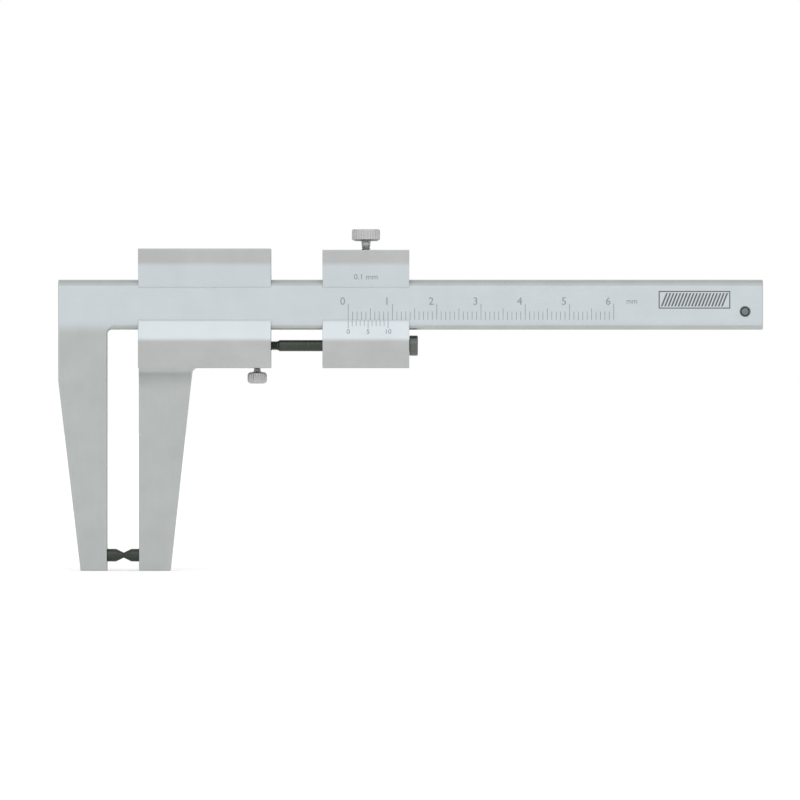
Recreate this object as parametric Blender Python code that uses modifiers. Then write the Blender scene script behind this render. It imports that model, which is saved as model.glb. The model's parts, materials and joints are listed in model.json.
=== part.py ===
"""Brake-disc vernier caliper, 0 to 60 mm, with 50 mm jaws, as separate solids at its zero reading.

The beam and the fixed jaw are one blank. Two sliders run on the beam: one carries the moving jaw, the
other carries the vernier. A stop rod is held in the jaw slider and runs through the vernier slider,
so the jaw can be drawn back towards the vernier and returned to the same reading.

Frame: metres, +X along the beam in the opening direction, +Y from the scale side to the back, +Z up.
The origin is the centre of the fixed jaw's flat end, so every height is counted from the jaw ends.
"""

import math

import bmesh
import bpy
from mathutils import Matrix, Vector

MM = 0.001

# Fits
SLIDE_GAP = 0.05 * MM  # between the beam and what slides on it
TOUCH_GAP = 0.02 * MM  # between pieces that bear on each other
HOLE_GAP = 0.03 * MM  # radial, between a pin or screw and its hole
DRILL_PAST = 0.6 * MM  # how far a hole from the top is drawn past the metal at each end

# Beam and fixed jaw
BEAM_LEFT_X = -8.05 * MM
BEAM_LENGTH = 159.3 * MM
BEAM_BOTTOM_Z = 54.5 * MM
BEAM_HEIGHT = 11.3 * MM
BEAM_THICKNESS = 3.5 * MM
BEAM_EDGE_ROUNDING = 1.2 * MM
FIXED_JAW_INNER_X = 3.0 * MM
FIXED_JAW_END_HALF_WIDTH = 3.0 * MM
FIXED_JAW_TAPER_TOP_Z = 43.0 * MM
THROAT_FILLET = 1.0 * MM

# Measuring tips
CONTACT_X = 6.7 * MM  # where the two tips meet at zero
TIP_AXIS_Z = 3.5 * MM
TIP_RADIUS = 1.45 * MM
TIP_CONE_LENGTH = 1.7 * MM
TIP_FLAT_RADIUS = 0.6 * MM
TIP_SHANK_RADIUS = 1.0 * MM
TIP_SHANK_LENGTH = 4.0 * MM

# Section shared by the two sliders
SLIDER_THICKNESS = 7.4 * MM
SLIDER_BOTTOM_Z = 45.8 * MM
SLIDER_EDGE_BREAK = 0.3 * MM
SLOT_HEADROOM = 1.2 * MM  # above the beam, for the gib
LIP_EDGE = 0.3 * MM
UPPER_BEVEL_TOP_Z = 69.3 * MM
WINDOW_TOP_Z = 64.0 * MM
WINDOW_BOTTOM_Z = 56.7 * MM
LOWER_BEVEL_BOTTOM_Z = 52.0 * MM

# Jaw slider with the moving jaw
JAW_SLIDER_LEFT_X = 10.05 * MM
JAW_SLIDER_LENGTH = 30.0 * MM
JAW_SLIDER_TOP_Z = 72.8 * MM
MOVING_JAW_INNER_X = 10.2 * MM
MOVING_JAW_END_OUTER_X = 17.3 * MM
MOVING_JAW_ROOT_OUTER_X = 22.0 * MM
MOVING_JAW_FILLET = 1.3 * MM
SHOULDER_DROP = 1.7 * MM  # from the slider's underside to the shoulder's lower edge
SHOULDER_ANGLE = 45  # degrees of curve in the shoulder
RUNOUT_RADIUS = 8.0 * MM  # the hollow below the shoulder that runs out to the jaw's thickness
JAW_ROOT_DEPTH = 2.0 * MM  # how far the jaw's shape runs up into the slider before they are joined

# Vernier slider
VERNIER_SLIDER_LEFT_X = 51.7 * MM
VERNIER_SLIDER_LENGTH = 19.6 * MM
VERNIER_SLIDER_TOP_Z = 72.5 * MM

# Gibs and their set screws
GIB_THICKNESS = 0.8 * MM
GIB_WIDTH = 3.3 * MM
GIB_END_GAP = 0.5 * MM
SET_SCREW_RADIUS = 1.0 * MM
SET_SCREW_RECESS = 0.8 * MM
SET_SCREW_POINT_RADIUS = 0.55 * MM
SET_SCREW_POINT_LENGTH = 0.5 * MM
SET_SCREW_SLOT_WIDTH = 0.35 * MM
SET_SCREW_SLOT_DEPTH = 0.7 * MM
JAW_SET_SCREW_SPREAD = 9.0 * MM  # each side of the slider's middle
VERNIER_SET_SCREW_SPREAD = 6.5 * MM

# Stop rod, in the lower part of the sliders
ROD_AXIS_Z = 50.9 * MM
ROD_RADIUS = 1.28 * MM
ROD_NECK_RADIUS = 1.05 * MM
ROD_NECK_EXPOSED = 1.6 * MM
ROD_NECK_HELD = 7.0 * MM
ROD_CHAMFER = 0.3 * MM
ROD_SPIGOT_RADIUS = 0.8 * MM
COLLAR_RADIUS = 2.3 * MM
COLLAR_LENGTH = 1.9 * MM
COLLAR_CHAMFER = 0.15 * MM

# Clamp screw on the vernier slider: M2
CLAMP_SCREW_X = VERNIER_SLIDER_LEFT_X + VERNIER_SLIDER_LENGTH / 2
CLAMP_SCREW_RADIUS = 1.0 * MM
CLAMP_HEAD_RADIUS = 3.2 * MM
CLAMP_HEAD_HEIGHT = 2.6 * MM
CLAMP_TOP_CHAMFER = 0.25 * MM
CLAMP_UNDERSIDE_CHAMFER = (0.65 * MM, 0.40 * MM)  # across and up
CLAMP_FLARE_RADIUS = 1.9 * MM  # where the neck meets the head
CLAMP_FLARE_HEIGHT = 0.9 * MM
CLAMP_EXPOSED_NECK = 2.1 * MM
CLAMP_PAD_RADIUS = 0.8 * MM
CLAMP_PAD_LENGTH = 1.0 * MM

# Lock screw on the jaw slider: M1.6
LOCK_SCREW_X = 36.9 * MM
LOCK_SCREW_RADIUS = 0.8 * MM
LOCK_HEAD_RADIUS = 2.2 * MM
LOCK_HEAD_HEIGHT = 2.5 * MM
LOCK_HEAD_ROUNDING = 0.55 * MM
LOCK_EXPOSED_NECK = 1.0 * MM
LOCK_PAD_RADIUS = 0.65 * MM
LOCK_PAD_LENGTH = 0.9 * MM

# Stop screw near the beam's end
STOP_SCREW_X = 147.2 * MM
STOP_SCREW_Z = 58.6 * MM
STOP_SCREW_RADIUS = 1.0 * MM
STOP_HEAD_RADIUS = 1.6 * MM
STOP_HEAD_HEIGHT = 1.2 * MM
STOP_COUNTERSINK_RADIUS = 1.25 * MM
STOP_COUNTERSINK_DEPTH = 0.25 * MM
STOP_SLOT_WIDTH = 0.4 * MM
STOP_SLOT_DEPTH = 0.5 * MM

# Fineness of round shapes
ROUND_STEPS = 28
ARC_STEPS = 6
ROUNDING_SEGMENTS = 3
SMOOTH_BELOW = math.radians(30)
WELD_DISTANCE = 1e-7

# What follows from the dimensions above
BEAM_RIGHT_X = BEAM_LEFT_X + BEAM_LENGTH
BEAM_TOP_Z = BEAM_BOTTOM_Z + BEAM_HEIGHT
BEAM_MIDDLE_Z = BEAM_BOTTOM_Z + BEAM_HEIGHT / 2
BEAM_FACE_Y = BEAM_THICKNESS / 2
SLIDER_FACE_Y = SLIDER_THICKNESS / 2
SLOT_TOP_Z = BEAM_TOP_Z + SLOT_HEADROOM
JAW_SLIDER_RIGHT_X = JAW_SLIDER_LEFT_X + JAW_SLIDER_LENGTH
VERNIER_SLIDER_RIGHT_X = VERNIER_SLIDER_LEFT_X + VERNIER_SLIDER_LENGTH
GIB_BOTTOM_Z = BEAM_TOP_Z + SLIDE_GAP
GIB_TOP_Z = GIB_BOTTOM_Z + GIB_THICKNESS

X_AXIS = Vector((1, 0, 0))
Y_AXIS = Vector((0, 1, 0))
Z_AXIS = Vector((0, 0, 1))

# The plane an outline is drawn in: local x and y go to these two world axes
FRONT_PLANE = Matrix(((1, 0, 0, 0), (0, 0, -1, 0), (0, 1, 0, 0), (0, 0, 0, 1)))
SECTION_PLANE = Matrix(((0, 0, 1, 0), (1, 0, 0, 0), (0, 1, 0, 0), (0, 0, 0, 1)))


# ---------------------------------------------------------------- scene, collections and materials


def clear_scene():
    for obj in list(bpy.data.objects):
        bpy.data.objects.remove(obj)


def new_collection(name):
    collection = bpy.data.collections.new(name)
    bpy.context.scene.collection.children.link(collection)
    return collection


def metal(name, colour, roughness):
    material = bpy.data.materials.new(name)
    material.use_nodes = True
    shader = material.node_tree.nodes["Principled BSDF"]
    shader.inputs["Base Color"].default_value = (*colour, 1.0)
    shader.inputs["Roughness"].default_value = roughness
    shader.inputs["Metallic"].default_value = 1.0
    return material


clear_scene()
PARTS = new_collection("brake_disc_caliper")
CUTTERS = new_collection("cutters")

SATIN_CHROME = metal("satin_chrome", (0.62, 0.65, 0.66), 0.38)
SLIDER_STEEL = metal("ground_slider_steel", (0.50, 0.51, 0.51), 0.34)
SCREW_STEEL = metal("bright_screw_steel", (0.52, 0.52, 0.52), 0.30)
BLACK_STEEL = metal("blackened_steel", (0.06, 0.07, 0.065), 0.32)
BRONZE = metal("gib_bronze", (0.55, 0.36, 0.17), 0.40)


# ---------------------------------------------------------------- shape helpers


def arc(centre, radius, start, end, steps=ARC_STEPS):
    """Points on a circle from the start angle to the end angle, in degrees, both ends included."""
    points = []
    for step in range(steps + 1):
        angle = math.radians(start + (end - start) * step / steps)
        points.append((centre[0] + radius * math.cos(angle), centre[1] + radius * math.sin(angle)))
    return points


def pointing(direction, at):
    """The matrix that turns local +Z to the direction and moves the origin to the point."""
    turn = Z_AXIS.rotation_difference(Vector(direction)).to_matrix().to_4x4()
    return Matrix.Translation(at) @ turn


def add_object(name, mesh, matrix, collection):
    obj = bpy.data.objects.new(name, mesh)
    collection.objects.link(obj)
    obj.matrix_world = matrix
    return obj


def extruded(name, outline, half_depth, matrix, collection):
    """A solid from a closed flat outline, extruded both ways from the plane that the matrix gives."""
    curve = bpy.data.curves.new(name, "CURVE")
    curve.dimensions = "2D"
    curve.fill_mode = "BOTH"
    curve.extrude = half_depth
    spline = curve.splines.new("POLY")
    spline.points.add(len(outline) - 1)
    for point, (across, up) in zip(spline.points, outline):
        point.co = (across, up, 0, 1)
    spline.use_cyclic_u = True
    drawn = add_object(name, curve, matrix, collection)
    graph = bpy.context.evaluated_depsgraph_get()
    mesh = bpy.data.meshes.new_from_object(drawn.evaluated_get(graph))
    bpy.data.objects.remove(drawn)
    shape = bmesh.new()
    shape.from_mesh(mesh)
    bmesh.ops.remove_doubles(shape, verts=shape.verts, dist=WELD_DISTANCE)
    bmesh.ops.dissolve_limit(shape, angle_limit=math.radians(0.1), verts=shape.verts, edges=shape.edges)
    bmesh.ops.recalc_face_normals(shape, faces=shape.faces)
    shape.to_mesh(mesh)
    shape.free()
    return add_object(name, mesh, matrix, collection)


def turned(name, profile, matrix, collection=PARTS):
    """A turned solid round local Z, from (radius, height) points that run down its outer side."""
    mesh = bpy.data.meshes.new(name)
    points = [(radius, 0, height) for radius, height in profile]
    mesh.from_pydata(points, [(i, i + 1) for i in range(len(points) - 1)], [])
    obj = add_object(name, mesh, matrix, collection)
    spin = obj.modifiers.new("spin", "SCREW")
    spin.steps = ROUND_STEPS
    spin.render_steps = ROUND_STEPS
    spin.use_merge_vertices = True
    spin.merge_threshold = WELD_DISTANCE
    spin.use_smooth_shade = True
    return obj


def box(name, low, high, collection):
    """A box between two corners."""
    low = Vector(low)
    high = Vector(high)
    shape = bmesh.new()
    size = high - low
    bmesh.ops.create_cube(shape, size=1, matrix=Matrix.Diagonal((*size, 1)))
    mesh = bpy.data.meshes.new(name)
    shape.to_mesh(mesh)
    shape.free()
    return add_object(name, mesh, Matrix.Translation((low + high) / 2), collection)


def boolean(target, other, operation):
    """Adds the Boolean and turns the other shape into a hidden helper."""
    step = target.modifiers.new(other.name, "BOOLEAN")
    step.operation = operation
    step.object = other
    step.solver = "EXACT"
    other.hide_render = True
    other.display_type = "WIRE"


def drill(target, name, start, end, radius, start_radius=None):
    """Cuts a round hole from start to end, or a cone if the start has a radius of its own."""
    start = Vector(start)
    along = Vector(end) - start
    length = along.length
    profile = [(0, length), (radius, length), (start_radius or radius, 0), (0, 0)]
    cutter = turned(name, profile, pointing(along.normalized(), start), CUTTERS)
    boolean(target, cutter, "DIFFERENCE")


def saw(target, name, low, high):
    """Cuts a box-shaped slot."""
    boolean(target, box(name, low, high, CUTTERS), "DIFFERENCE")


def joint_frame(name, at, parent=None):
    """An empty on a joint's axis, which the moving pieces hang from."""
    empty = bpy.data.objects.new(name, None)
    PARTS.objects.link(empty)
    empty.matrix_world = Matrix.Translation(at)
    if parent:
        hang([empty], parent)
    return empty


def hang(pieces, parent):
    """Parents the pieces, with the helpers that shape them, keeping them where they are."""
    bpy.context.view_layer.update()
    for piece in pieces:
        piece.parent = parent
        piece.matrix_parent_inverse = parent.matrix_world.inverted()
        hang([step.object for step in piece.modifiers if step.type == "BOOLEAN"], parent)


def finish(obj, material):
    """Gives the piece its material and smooths its round faces."""
    obj.data.materials.append(material)
    obj.data.shade_smooth()
    obj.data.set_sharp_from_angle(angle=SMOOTH_BELOW)
    return obj


# ---------------------------------------------------------------- beam with the fixed jaw


def beam_outline():
    fillet_centre = (FIXED_JAW_INNER_X + THROAT_FILLET, BEAM_BOTTOM_Z - THROAT_FILLET)
    return [
        (BEAM_LEFT_X, BEAM_TOP_Z),
        (BEAM_LEFT_X, FIXED_JAW_TAPER_TOP_Z),
        (-FIXED_JAW_END_HALF_WIDTH, 0),
        (FIXED_JAW_INNER_X, 0),
        *arc(fillet_centre, THROAT_FILLET, 180, 90),
        (BEAM_RIGHT_X, BEAM_BOTTOM_Z),
        (BEAM_RIGHT_X, BEAM_TOP_Z),
    ]


def round_beam_edges(mesh):
    """Rounds the beam's long edges, top and bottom. Local y is height and local z is depth here."""
    shape = bmesh.new()
    shape.from_mesh(mesh)
    long_edges = []
    for edge in shape.edges:
        first, second = (vertex.co for vertex in edge.verts)
        level = abs(first.y - second.y) < WELD_DISTANCE and abs(first.z - second.z) < WELD_DISTANCE
        if level and first.y > BEAM_BOTTOM_Z - WELD_DISTANCE:
            long_edges.append(edge)
    bmesh.ops.bevel(
        shape,
        geom=long_edges,
        offset=BEAM_EDGE_ROUNDING,
        segments=ROUNDING_SEGMENTS,
        profile=0.5,
        affect="EDGES",
    )
    shape.to_mesh(mesh)
    shape.free()


def make_beam():
    beam = extruded("beam", beam_outline(), BEAM_FACE_Y, FRONT_PLANE, PARTS)
    round_beam_edges(beam.data)
    tip_hole_start = (CONTACT_X, 0, TIP_AXIS_Z)
    tip_hole_end = (FIXED_JAW_INNER_X - TIP_SHANK_LENGTH - HOLE_GAP, 0, TIP_AXIS_Z)
    drill(beam, "fixed_tip_hole", tip_hole_start, tip_hole_end, TIP_SHANK_RADIUS + HOLE_GAP)
    front = (STOP_SCREW_X, -BEAM_THICKNESS, STOP_SCREW_Z)
    back = (STOP_SCREW_X, BEAM_THICKNESS, STOP_SCREW_Z)
    drill(beam, "stop_screw_hole", front, back, STOP_SCREW_RADIUS + HOLE_GAP)
    slope = (STOP_COUNTERSINK_RADIUS - STOP_SCREW_RADIUS) / STOP_COUNTERSINK_DEPTH
    mouth = STOP_COUNTERSINK_RADIUS + slope * (BEAM_THICKNESS - BEAM_FACE_Y)
    bottom = (STOP_SCREW_X, STOP_COUNTERSINK_DEPTH - BEAM_FACE_Y, STOP_SCREW_Z)
    drill(beam, "stop_screw_countersink", front, bottom, STOP_SCREW_RADIUS, mouth)
    return finish(beam, SATIN_CHROME)


def make_stop_screw():
    """The screw through the beam whose head, at the back, the vernier slider runs up against."""
    end = BEAM_THICKNESS - STOP_COUNTERSINK_DEPTH / 2
    profile = [
        (0, STOP_HEAD_HEIGHT),
        (STOP_HEAD_RADIUS, STOP_HEAD_HEIGHT),
        (STOP_HEAD_RADIUS, TOUCH_GAP),
        (STOP_SCREW_RADIUS, TOUCH_GAP),
        (STOP_SCREW_RADIUS, -end + STOP_COUNTERSINK_DEPTH),
        (STOP_SCREW_RADIUS - STOP_COUNTERSINK_DEPTH, -end),
        (0, -end),
    ]
    screw = turned("stop_screw", profile, pointing(Y_AXIS, (STOP_SCREW_X, BEAM_FACE_Y, STOP_SCREW_Z)))
    head_y = BEAM_FACE_Y + STOP_HEAD_HEIGHT
    low = (STOP_SCREW_X - 2 * STOP_HEAD_RADIUS, head_y - STOP_SLOT_DEPTH, STOP_SCREW_Z - STOP_SLOT_WIDTH / 2)
    high = (STOP_SCREW_X + 2 * STOP_HEAD_RADIUS, head_y + STOP_SLOT_DEPTH, STOP_SCREW_Z + STOP_SLOT_WIDTH / 2)
    saw(screw, "stop_screw_slot", low, high)
    return finish(screw, BLACK_STEEL)


def make_tip(name, face_x, direction):
    """A hardened measuring tip pressed into a jaw's inner face, pointing along the direction."""
    reach = abs(CONTACT_X - face_x) - TOUCH_GAP / 2
    profile = [
        (0, reach),
        (TIP_FLAT_RADIUS, reach),
        (TIP_RADIUS, reach - TIP_CONE_LENGTH),
        (TIP_RADIUS, TOUCH_GAP),
        (TIP_SHANK_RADIUS, TOUCH_GAP),
        (TIP_SHANK_RADIUS, -TIP_SHANK_LENGTH),
        (0, -TIP_SHANK_LENGTH),
    ]
    return finish(turned(name, profile, pointing(direction, (face_x, 0, TIP_AXIS_Z))), BLACK_STEEL)


# ---------------------------------------------------------------- sliders


def slider_section(top_z):
    """The open-fronted channel section of a slider, as (y, z) points round its outline."""
    face = SLIDER_FACE_Y
    inside = BEAM_FACE_Y + SLIDE_GAP
    lip = inside + LIP_EDGE
    slot_bottom_z = BEAM_BOTTOM_Z - SLIDE_GAP
    edge = SLIDER_EDGE_BREAK
    return [
        (edge - face, top_z),
        (-face, top_z - edge),
        (-face, UPPER_BEVEL_TOP_Z),
        (-lip, WINDOW_TOP_Z),
        (-inside, WINDOW_TOP_Z),
        (-inside, SLOT_TOP_Z),
        (inside, SLOT_TOP_Z),
        (inside, slot_bottom_z),
        (-inside, slot_bottom_z),
        (-inside, WINDOW_BOTTOM_Z),
        (-lip, WINDOW_BOTTOM_Z),
        (-face, LOWER_BEVEL_BOTTOM_Z),
        (-face, SLIDER_BOTTOM_Z + edge),
        (edge - face, SLIDER_BOTTOM_Z),
        (face - edge, SLIDER_BOTTOM_Z),
        (face, SLIDER_BOTTOM_Z + edge),
        (face, top_z - edge),
        (face - edge, top_z),
    ]


def slider_blank(name, left_x, length, top_z):
    middle = Matrix.Translation((left_x + length / 2, 0, 0))
    return extruded(name, slider_section(top_z), length / 2, middle @ SECTION_PLANE, PARTS)


def set_screw_places(middle_x, spread):
    return {"left": middle_x - spread, "right": middle_x + spread}


def drill_from_top(slider, name, x, top_z, radius):
    """A hole from the slider's top into its slot, started and ended clear of both."""
    drill(slider, name, (x, 0, top_z + DRILL_PAST), (x, 0, SLOT_TOP_Z - DRILL_PAST), radius)


def moving_jaw_outline():
    """The jaw seen from the front, run up into the slider, with its fillet under the slider."""
    lean = math.atan2(MOVING_JAW_ROOT_OUTER_X - MOVING_JAW_END_OUTER_X, SLIDER_BOTTOM_Z)
    # The fillet touches the leaning outer edge and the slider's level underside.
    reach = MOVING_JAW_FILLET * math.tan(math.pi / 4 + lean / 2)
    centre = (MOVING_JAW_ROOT_OUTER_X + reach, SLIDER_BOTTOM_Z - MOVING_JAW_FILLET)
    root_z = SLIDER_BOTTOM_Z + JAW_ROOT_DEPTH
    return [
        (MOVING_JAW_INNER_X, 0),
        (MOVING_JAW_END_OUTER_X, 0),
        *arc(centre, MOVING_JAW_FILLET, 180 - math.degrees(lean), 90),
        (centre[0], root_z),
        (MOVING_JAW_INNER_X, root_z),
    ]


def moving_jaw_side():
    """The jaw seen from its end: a rounded shoulder under the slider, then a long hollow down to the
    jaw's thickness."""
    angle = math.radians(SHOULDER_ANGLE)
    shoulder_radius = (SHOULDER_DROP + SLIDER_EDGE_BREAK) / math.sin(angle)
    shoulder_depth = shoulder_radius * (1 - math.cos(angle))
    hollow_depth = SLIDER_FACE_Y - shoulder_depth - BEAM_FACE_Y
    hollow_angle = math.acos(1 - hollow_depth / RUNOUT_RADIUS)
    edge_z = SLIDER_BOTTOM_Z - SHOULDER_DROP
    hollow_centre = (BEAM_FACE_Y + RUNOUT_RADIUS, edge_z - RUNOUT_RADIUS * math.sin(hollow_angle))
    shoulder_centre = (SLIDER_FACE_Y - shoulder_radius, SLIDER_BOTTOM_Z + SLIDER_EDGE_BREAK)
    right = [
        (BEAM_FACE_Y, -JAW_ROOT_DEPTH),
        *arc(hollow_centre, RUNOUT_RADIUS, 180, 180 - math.degrees(hollow_angle)),
        *arc(shoulder_centre, shoulder_radius, -SHOULDER_ANGLE, 0),
        (SLIDER_FACE_Y, SLIDER_BOTTOM_Z + 2 * JAW_ROOT_DEPTH),
    ]
    left = [(-y, z) for y, z in reversed(right)]
    return right + left


def make_jaw_slider():
    slider = slider_blank("jaw_slider", JAW_SLIDER_LEFT_X, JAW_SLIDER_LENGTH, JAW_SLIDER_TOP_Z)
    jaw = extruded("moving_jaw_shape", moving_jaw_outline(), SLIDER_THICKNESS, FRONT_PLANE, CUTTERS)
    side = extruded("moving_jaw_side", moving_jaw_side(), JAW_SLIDER_LENGTH, SECTION_PLANE, CUTTERS)
    boolean(jaw, side, "INTERSECT")
    boolean(slider, jaw, "UNION")
    tip_hole_end = (MOVING_JAW_INNER_X + TIP_SHANK_LENGTH + HOLE_GAP, 0, TIP_AXIS_Z)
    tip_hole_start = (CONTACT_X, 0, TIP_AXIS_Z)
    drill(slider, "moving_tip_hole", tip_hole_start, tip_hole_end, TIP_SHANK_RADIUS + HOLE_GAP)
    middle_x = JAW_SLIDER_LEFT_X + JAW_SLIDER_LENGTH / 2
    for side_name, x in set_screw_places(middle_x, JAW_SET_SCREW_SPREAD).items():
        name = f"jaw_set_screw_hole_{side_name}"
        drill_from_top(slider, name, x, JAW_SLIDER_TOP_Z, SET_SCREW_RADIUS + HOLE_GAP)
    mouth = (JAW_SLIDER_RIGHT_X + ROD_NECK_EXPOSED, 0, ROD_AXIS_Z)
    bottom = (JAW_SLIDER_RIGHT_X - ROD_NECK_HELD - HOLE_GAP, 0, ROD_AXIS_Z)
    drill(slider, "rod_socket", mouth, bottom, ROD_NECK_RADIUS + HOLE_GAP)
    below = (LOCK_SCREW_X, 0, SLIDER_BOTTOM_Z - LOCK_EXPOSED_NECK)
    drill(slider, "lock_screw_hole", below, (LOCK_SCREW_X, 0, ROD_AXIS_Z), LOCK_SCREW_RADIUS + HOLE_GAP)
    return finish(slider, SLIDER_STEEL)


def make_vernier_slider():
    slider = slider_blank(
        "vernier_slider", VERNIER_SLIDER_LEFT_X, VERNIER_SLIDER_LENGTH, VERNIER_SLIDER_TOP_Z
    )
    for side_name, x in set_screw_places(CLAMP_SCREW_X, VERNIER_SET_SCREW_SPREAD).items():
        name = f"vernier_set_screw_hole_{side_name}"
        drill_from_top(slider, name, x, VERNIER_SLIDER_TOP_Z, SET_SCREW_RADIUS + HOLE_GAP)
    clamp_radius = CLAMP_SCREW_RADIUS + HOLE_GAP
    drill_from_top(slider, "clamp_screw_hole", CLAMP_SCREW_X, VERNIER_SLIDER_TOP_Z, clamp_radius)
    start = (VERNIER_SLIDER_LEFT_X - COLLAR_LENGTH, 0, ROD_AXIS_Z)
    end = (VERNIER_SLIDER_RIGHT_X + COLLAR_LENGTH, 0, ROD_AXIS_Z)
    drill(slider, "rod_bore", start, end, ROD_RADIUS + HOLE_GAP)
    return finish(slider, SLIDER_STEEL)


def make_gib(name, left_x, length, spread):
    """The bronze strip between the slot and the beam's top edge, pierced for the set screws' points."""
    low = (left_x + GIB_END_GAP, -GIB_WIDTH / 2, GIB_BOTTOM_Z)
    high = (left_x + length - GIB_END_GAP, GIB_WIDTH / 2, GIB_TOP_Z)
    gib = box(name, low, high, PARTS)
    for side_name, x in set_screw_places(left_x + length / 2, spread).items():
        top = (x, 0, GIB_TOP_Z + GIB_THICKNESS)
        bottom = (x, 0, GIB_BOTTOM_Z - GIB_THICKNESS)
        drill(gib, f"{name}_hole_{side_name}", top, bottom, SET_SCREW_POINT_RADIUS + HOLE_GAP)
    return finish(gib, BRONZE)


def make_set_screw(name, x, slider_top_z):
    """A slotted grub screw whose point keeps the gib in place."""
    shoulder_z = GIB_TOP_Z + TOUCH_GAP
    height = slider_top_z - SET_SCREW_RECESS - shoulder_z
    profile = [
        (0, height),
        (SET_SCREW_RADIUS, height),
        (SET_SCREW_RADIUS, 0),
        (SET_SCREW_POINT_RADIUS, 0),
        (SET_SCREW_POINT_RADIUS, -SET_SCREW_POINT_LENGTH),
        (0, -SET_SCREW_POINT_LENGTH),
    ]
    screw = turned(name, profile, Matrix.Translation((x, 0, shoulder_z)))
    top_z = shoulder_z + height
    low = (x - 2 * SET_SCREW_RADIUS, -SET_SCREW_SLOT_WIDTH / 2, top_z - SET_SCREW_SLOT_DEPTH)
    high = (x + 2 * SET_SCREW_RADIUS, SET_SCREW_SLOT_WIDTH / 2, top_z + SET_SCREW_SLOT_DEPTH)
    saw(screw, f"{name}_slot", low, high)
    return finish(screw, SCREW_STEEL)


def make_set_screws(prefix, middle_x, spread, slider_top_z):
    places = set_screw_places(middle_x, spread)
    return [make_set_screw(f"{prefix}_{side}", x, slider_top_z) for side, x in places.items()]


# ---------------------------------------------------------------- stop rod and collar


def make_stop_rod():
    """The rod's neck is held in the jaw slider, and its body runs through the vernier slider."""
    start_x = JAW_SLIDER_RIGHT_X - ROD_NECK_HELD
    neck = ROD_NECK_HELD + ROD_NECK_EXPOSED
    body = VERNIER_SLIDER_RIGHT_X + TOUCH_GAP - start_x
    end = body + COLLAR_LENGTH
    profile = [
        (0, end),
        (ROD_SPIGOT_RADIUS, end),
        (ROD_SPIGOT_RADIUS, body),
        (ROD_RADIUS, body),
        (ROD_RADIUS, neck + ROD_CHAMFER),
        (ROD_NECK_RADIUS, neck),
        (ROD_NECK_RADIUS, 0),
        (0, 0),
    ]
    return finish(turned("stop_rod", profile, pointing(X_AXIS, (start_x, 0, ROD_AXIS_Z))), BLACK_STEEL)


def make_stop_collar():
    """The collar on the rod's end that bears on the vernier slider's right face."""
    start_x = VERNIER_SLIDER_RIGHT_X + 2 * TOUCH_GAP
    profile = [
        (0, COLLAR_LENGTH),
        (COLLAR_RADIUS - COLLAR_CHAMFER, COLLAR_LENGTH),
        (COLLAR_RADIUS, COLLAR_LENGTH - COLLAR_CHAMFER),
        (COLLAR_RADIUS, COLLAR_CHAMFER),
        (COLLAR_RADIUS - COLLAR_CHAMFER, 0),
        (0, 0),
    ]
    collar = turned("stop_collar", profile, pointing(X_AXIS, (start_x, 0, ROD_AXIS_Z)))
    start = (start_x - COLLAR_LENGTH, 0, ROD_AXIS_Z)
    end = (start_x + 2 * COLLAR_LENGTH, 0, ROD_AXIS_Z)
    drill(collar, "collar_bore", start, end, ROD_SPIGOT_RADIUS + HOLE_GAP)
    return finish(collar, BLACK_STEEL)


# ---------------------------------------------------------------- thumb screws and pressure pads


def make_pad(name, radius, length, at, direction):
    """The small bronze pad between a thumb screw's end and what it presses on."""
    profile = [(0, length), (radius, length), (radius, 0), (0, 0)]
    return finish(turned(name, profile, pointing(direction, at)), BRONZE)


def make_clamp():
    """The clamp screw presses the gib on the beam through its pad, and so locks the vernier slider."""
    pad_z = GIB_TOP_Z + TOUCH_GAP
    pad = make_pad("clamp_pad", CLAMP_PAD_RADIUS, CLAMP_PAD_LENGTH, (CLAMP_SCREW_X, 0, pad_z), Z_AXIS)
    tip_z = pad_z + CLAMP_PAD_LENGTH + TOUCH_GAP
    underside = VERNIER_SLIDER_TOP_Z + CLAMP_EXPOSED_NECK - tip_z
    top = underside + CLAMP_HEAD_HEIGHT
    across, up = CLAMP_UNDERSIDE_CHAMFER
    profile = [
        (0, top),
        (CLAMP_HEAD_RADIUS - CLAMP_TOP_CHAMFER, top),
        (CLAMP_HEAD_RADIUS, top - CLAMP_TOP_CHAMFER),
        (CLAMP_HEAD_RADIUS, underside + up),
        (CLAMP_HEAD_RADIUS - across, underside),
        (CLAMP_FLARE_RADIUS, underside),
        (CLAMP_SCREW_RADIUS, underside - CLAMP_FLARE_HEIGHT),
        (CLAMP_SCREW_RADIUS, 0),
        (0, 0),
    ]
    screw = finish(turned("clamp_screw", profile, Matrix.Translation((CLAMP_SCREW_X, 0, tip_z))), SCREW_STEEL)
    return pad, screw


def make_lock():
    """The lock screw, from below, grips the rod's neck in the jaw slider through its pad."""
    down = -Z_AXIS
    pad_z = ROD_AXIS_Z - ROD_NECK_RADIUS - TOUCH_GAP
    pad = make_pad("lock_pad", LOCK_PAD_RADIUS, LOCK_PAD_LENGTH, (LOCK_SCREW_X, 0, pad_z), down)
    tip_z = pad_z - LOCK_PAD_LENGTH - TOUCH_GAP
    underside = tip_z - (SLIDER_BOTTOM_Z - LOCK_EXPOSED_NECK)
    top = underside + LOCK_HEAD_HEIGHT
    rounding = LOCK_HEAD_ROUNDING
    corner_x = LOCK_HEAD_RADIUS - rounding
    profile = [
        (0, top),
        *arc((corner_x, top - rounding), rounding, 90, 0, ROUNDING_SEGMENTS),
        *arc((corner_x, underside + rounding), rounding, 0, -90, ROUNDING_SEGMENTS),
        (LOCK_SCREW_RADIUS, underside),
        (LOCK_SCREW_RADIUS, 0),
        (0, 0),
    ]
    screw = finish(turned("lock_screw", profile, pointing(down, (LOCK_SCREW_X, 0, tip_z))), SCREW_STEEL)
    return pad, screw


# ---------------------------------------------------------------- assembly


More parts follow.
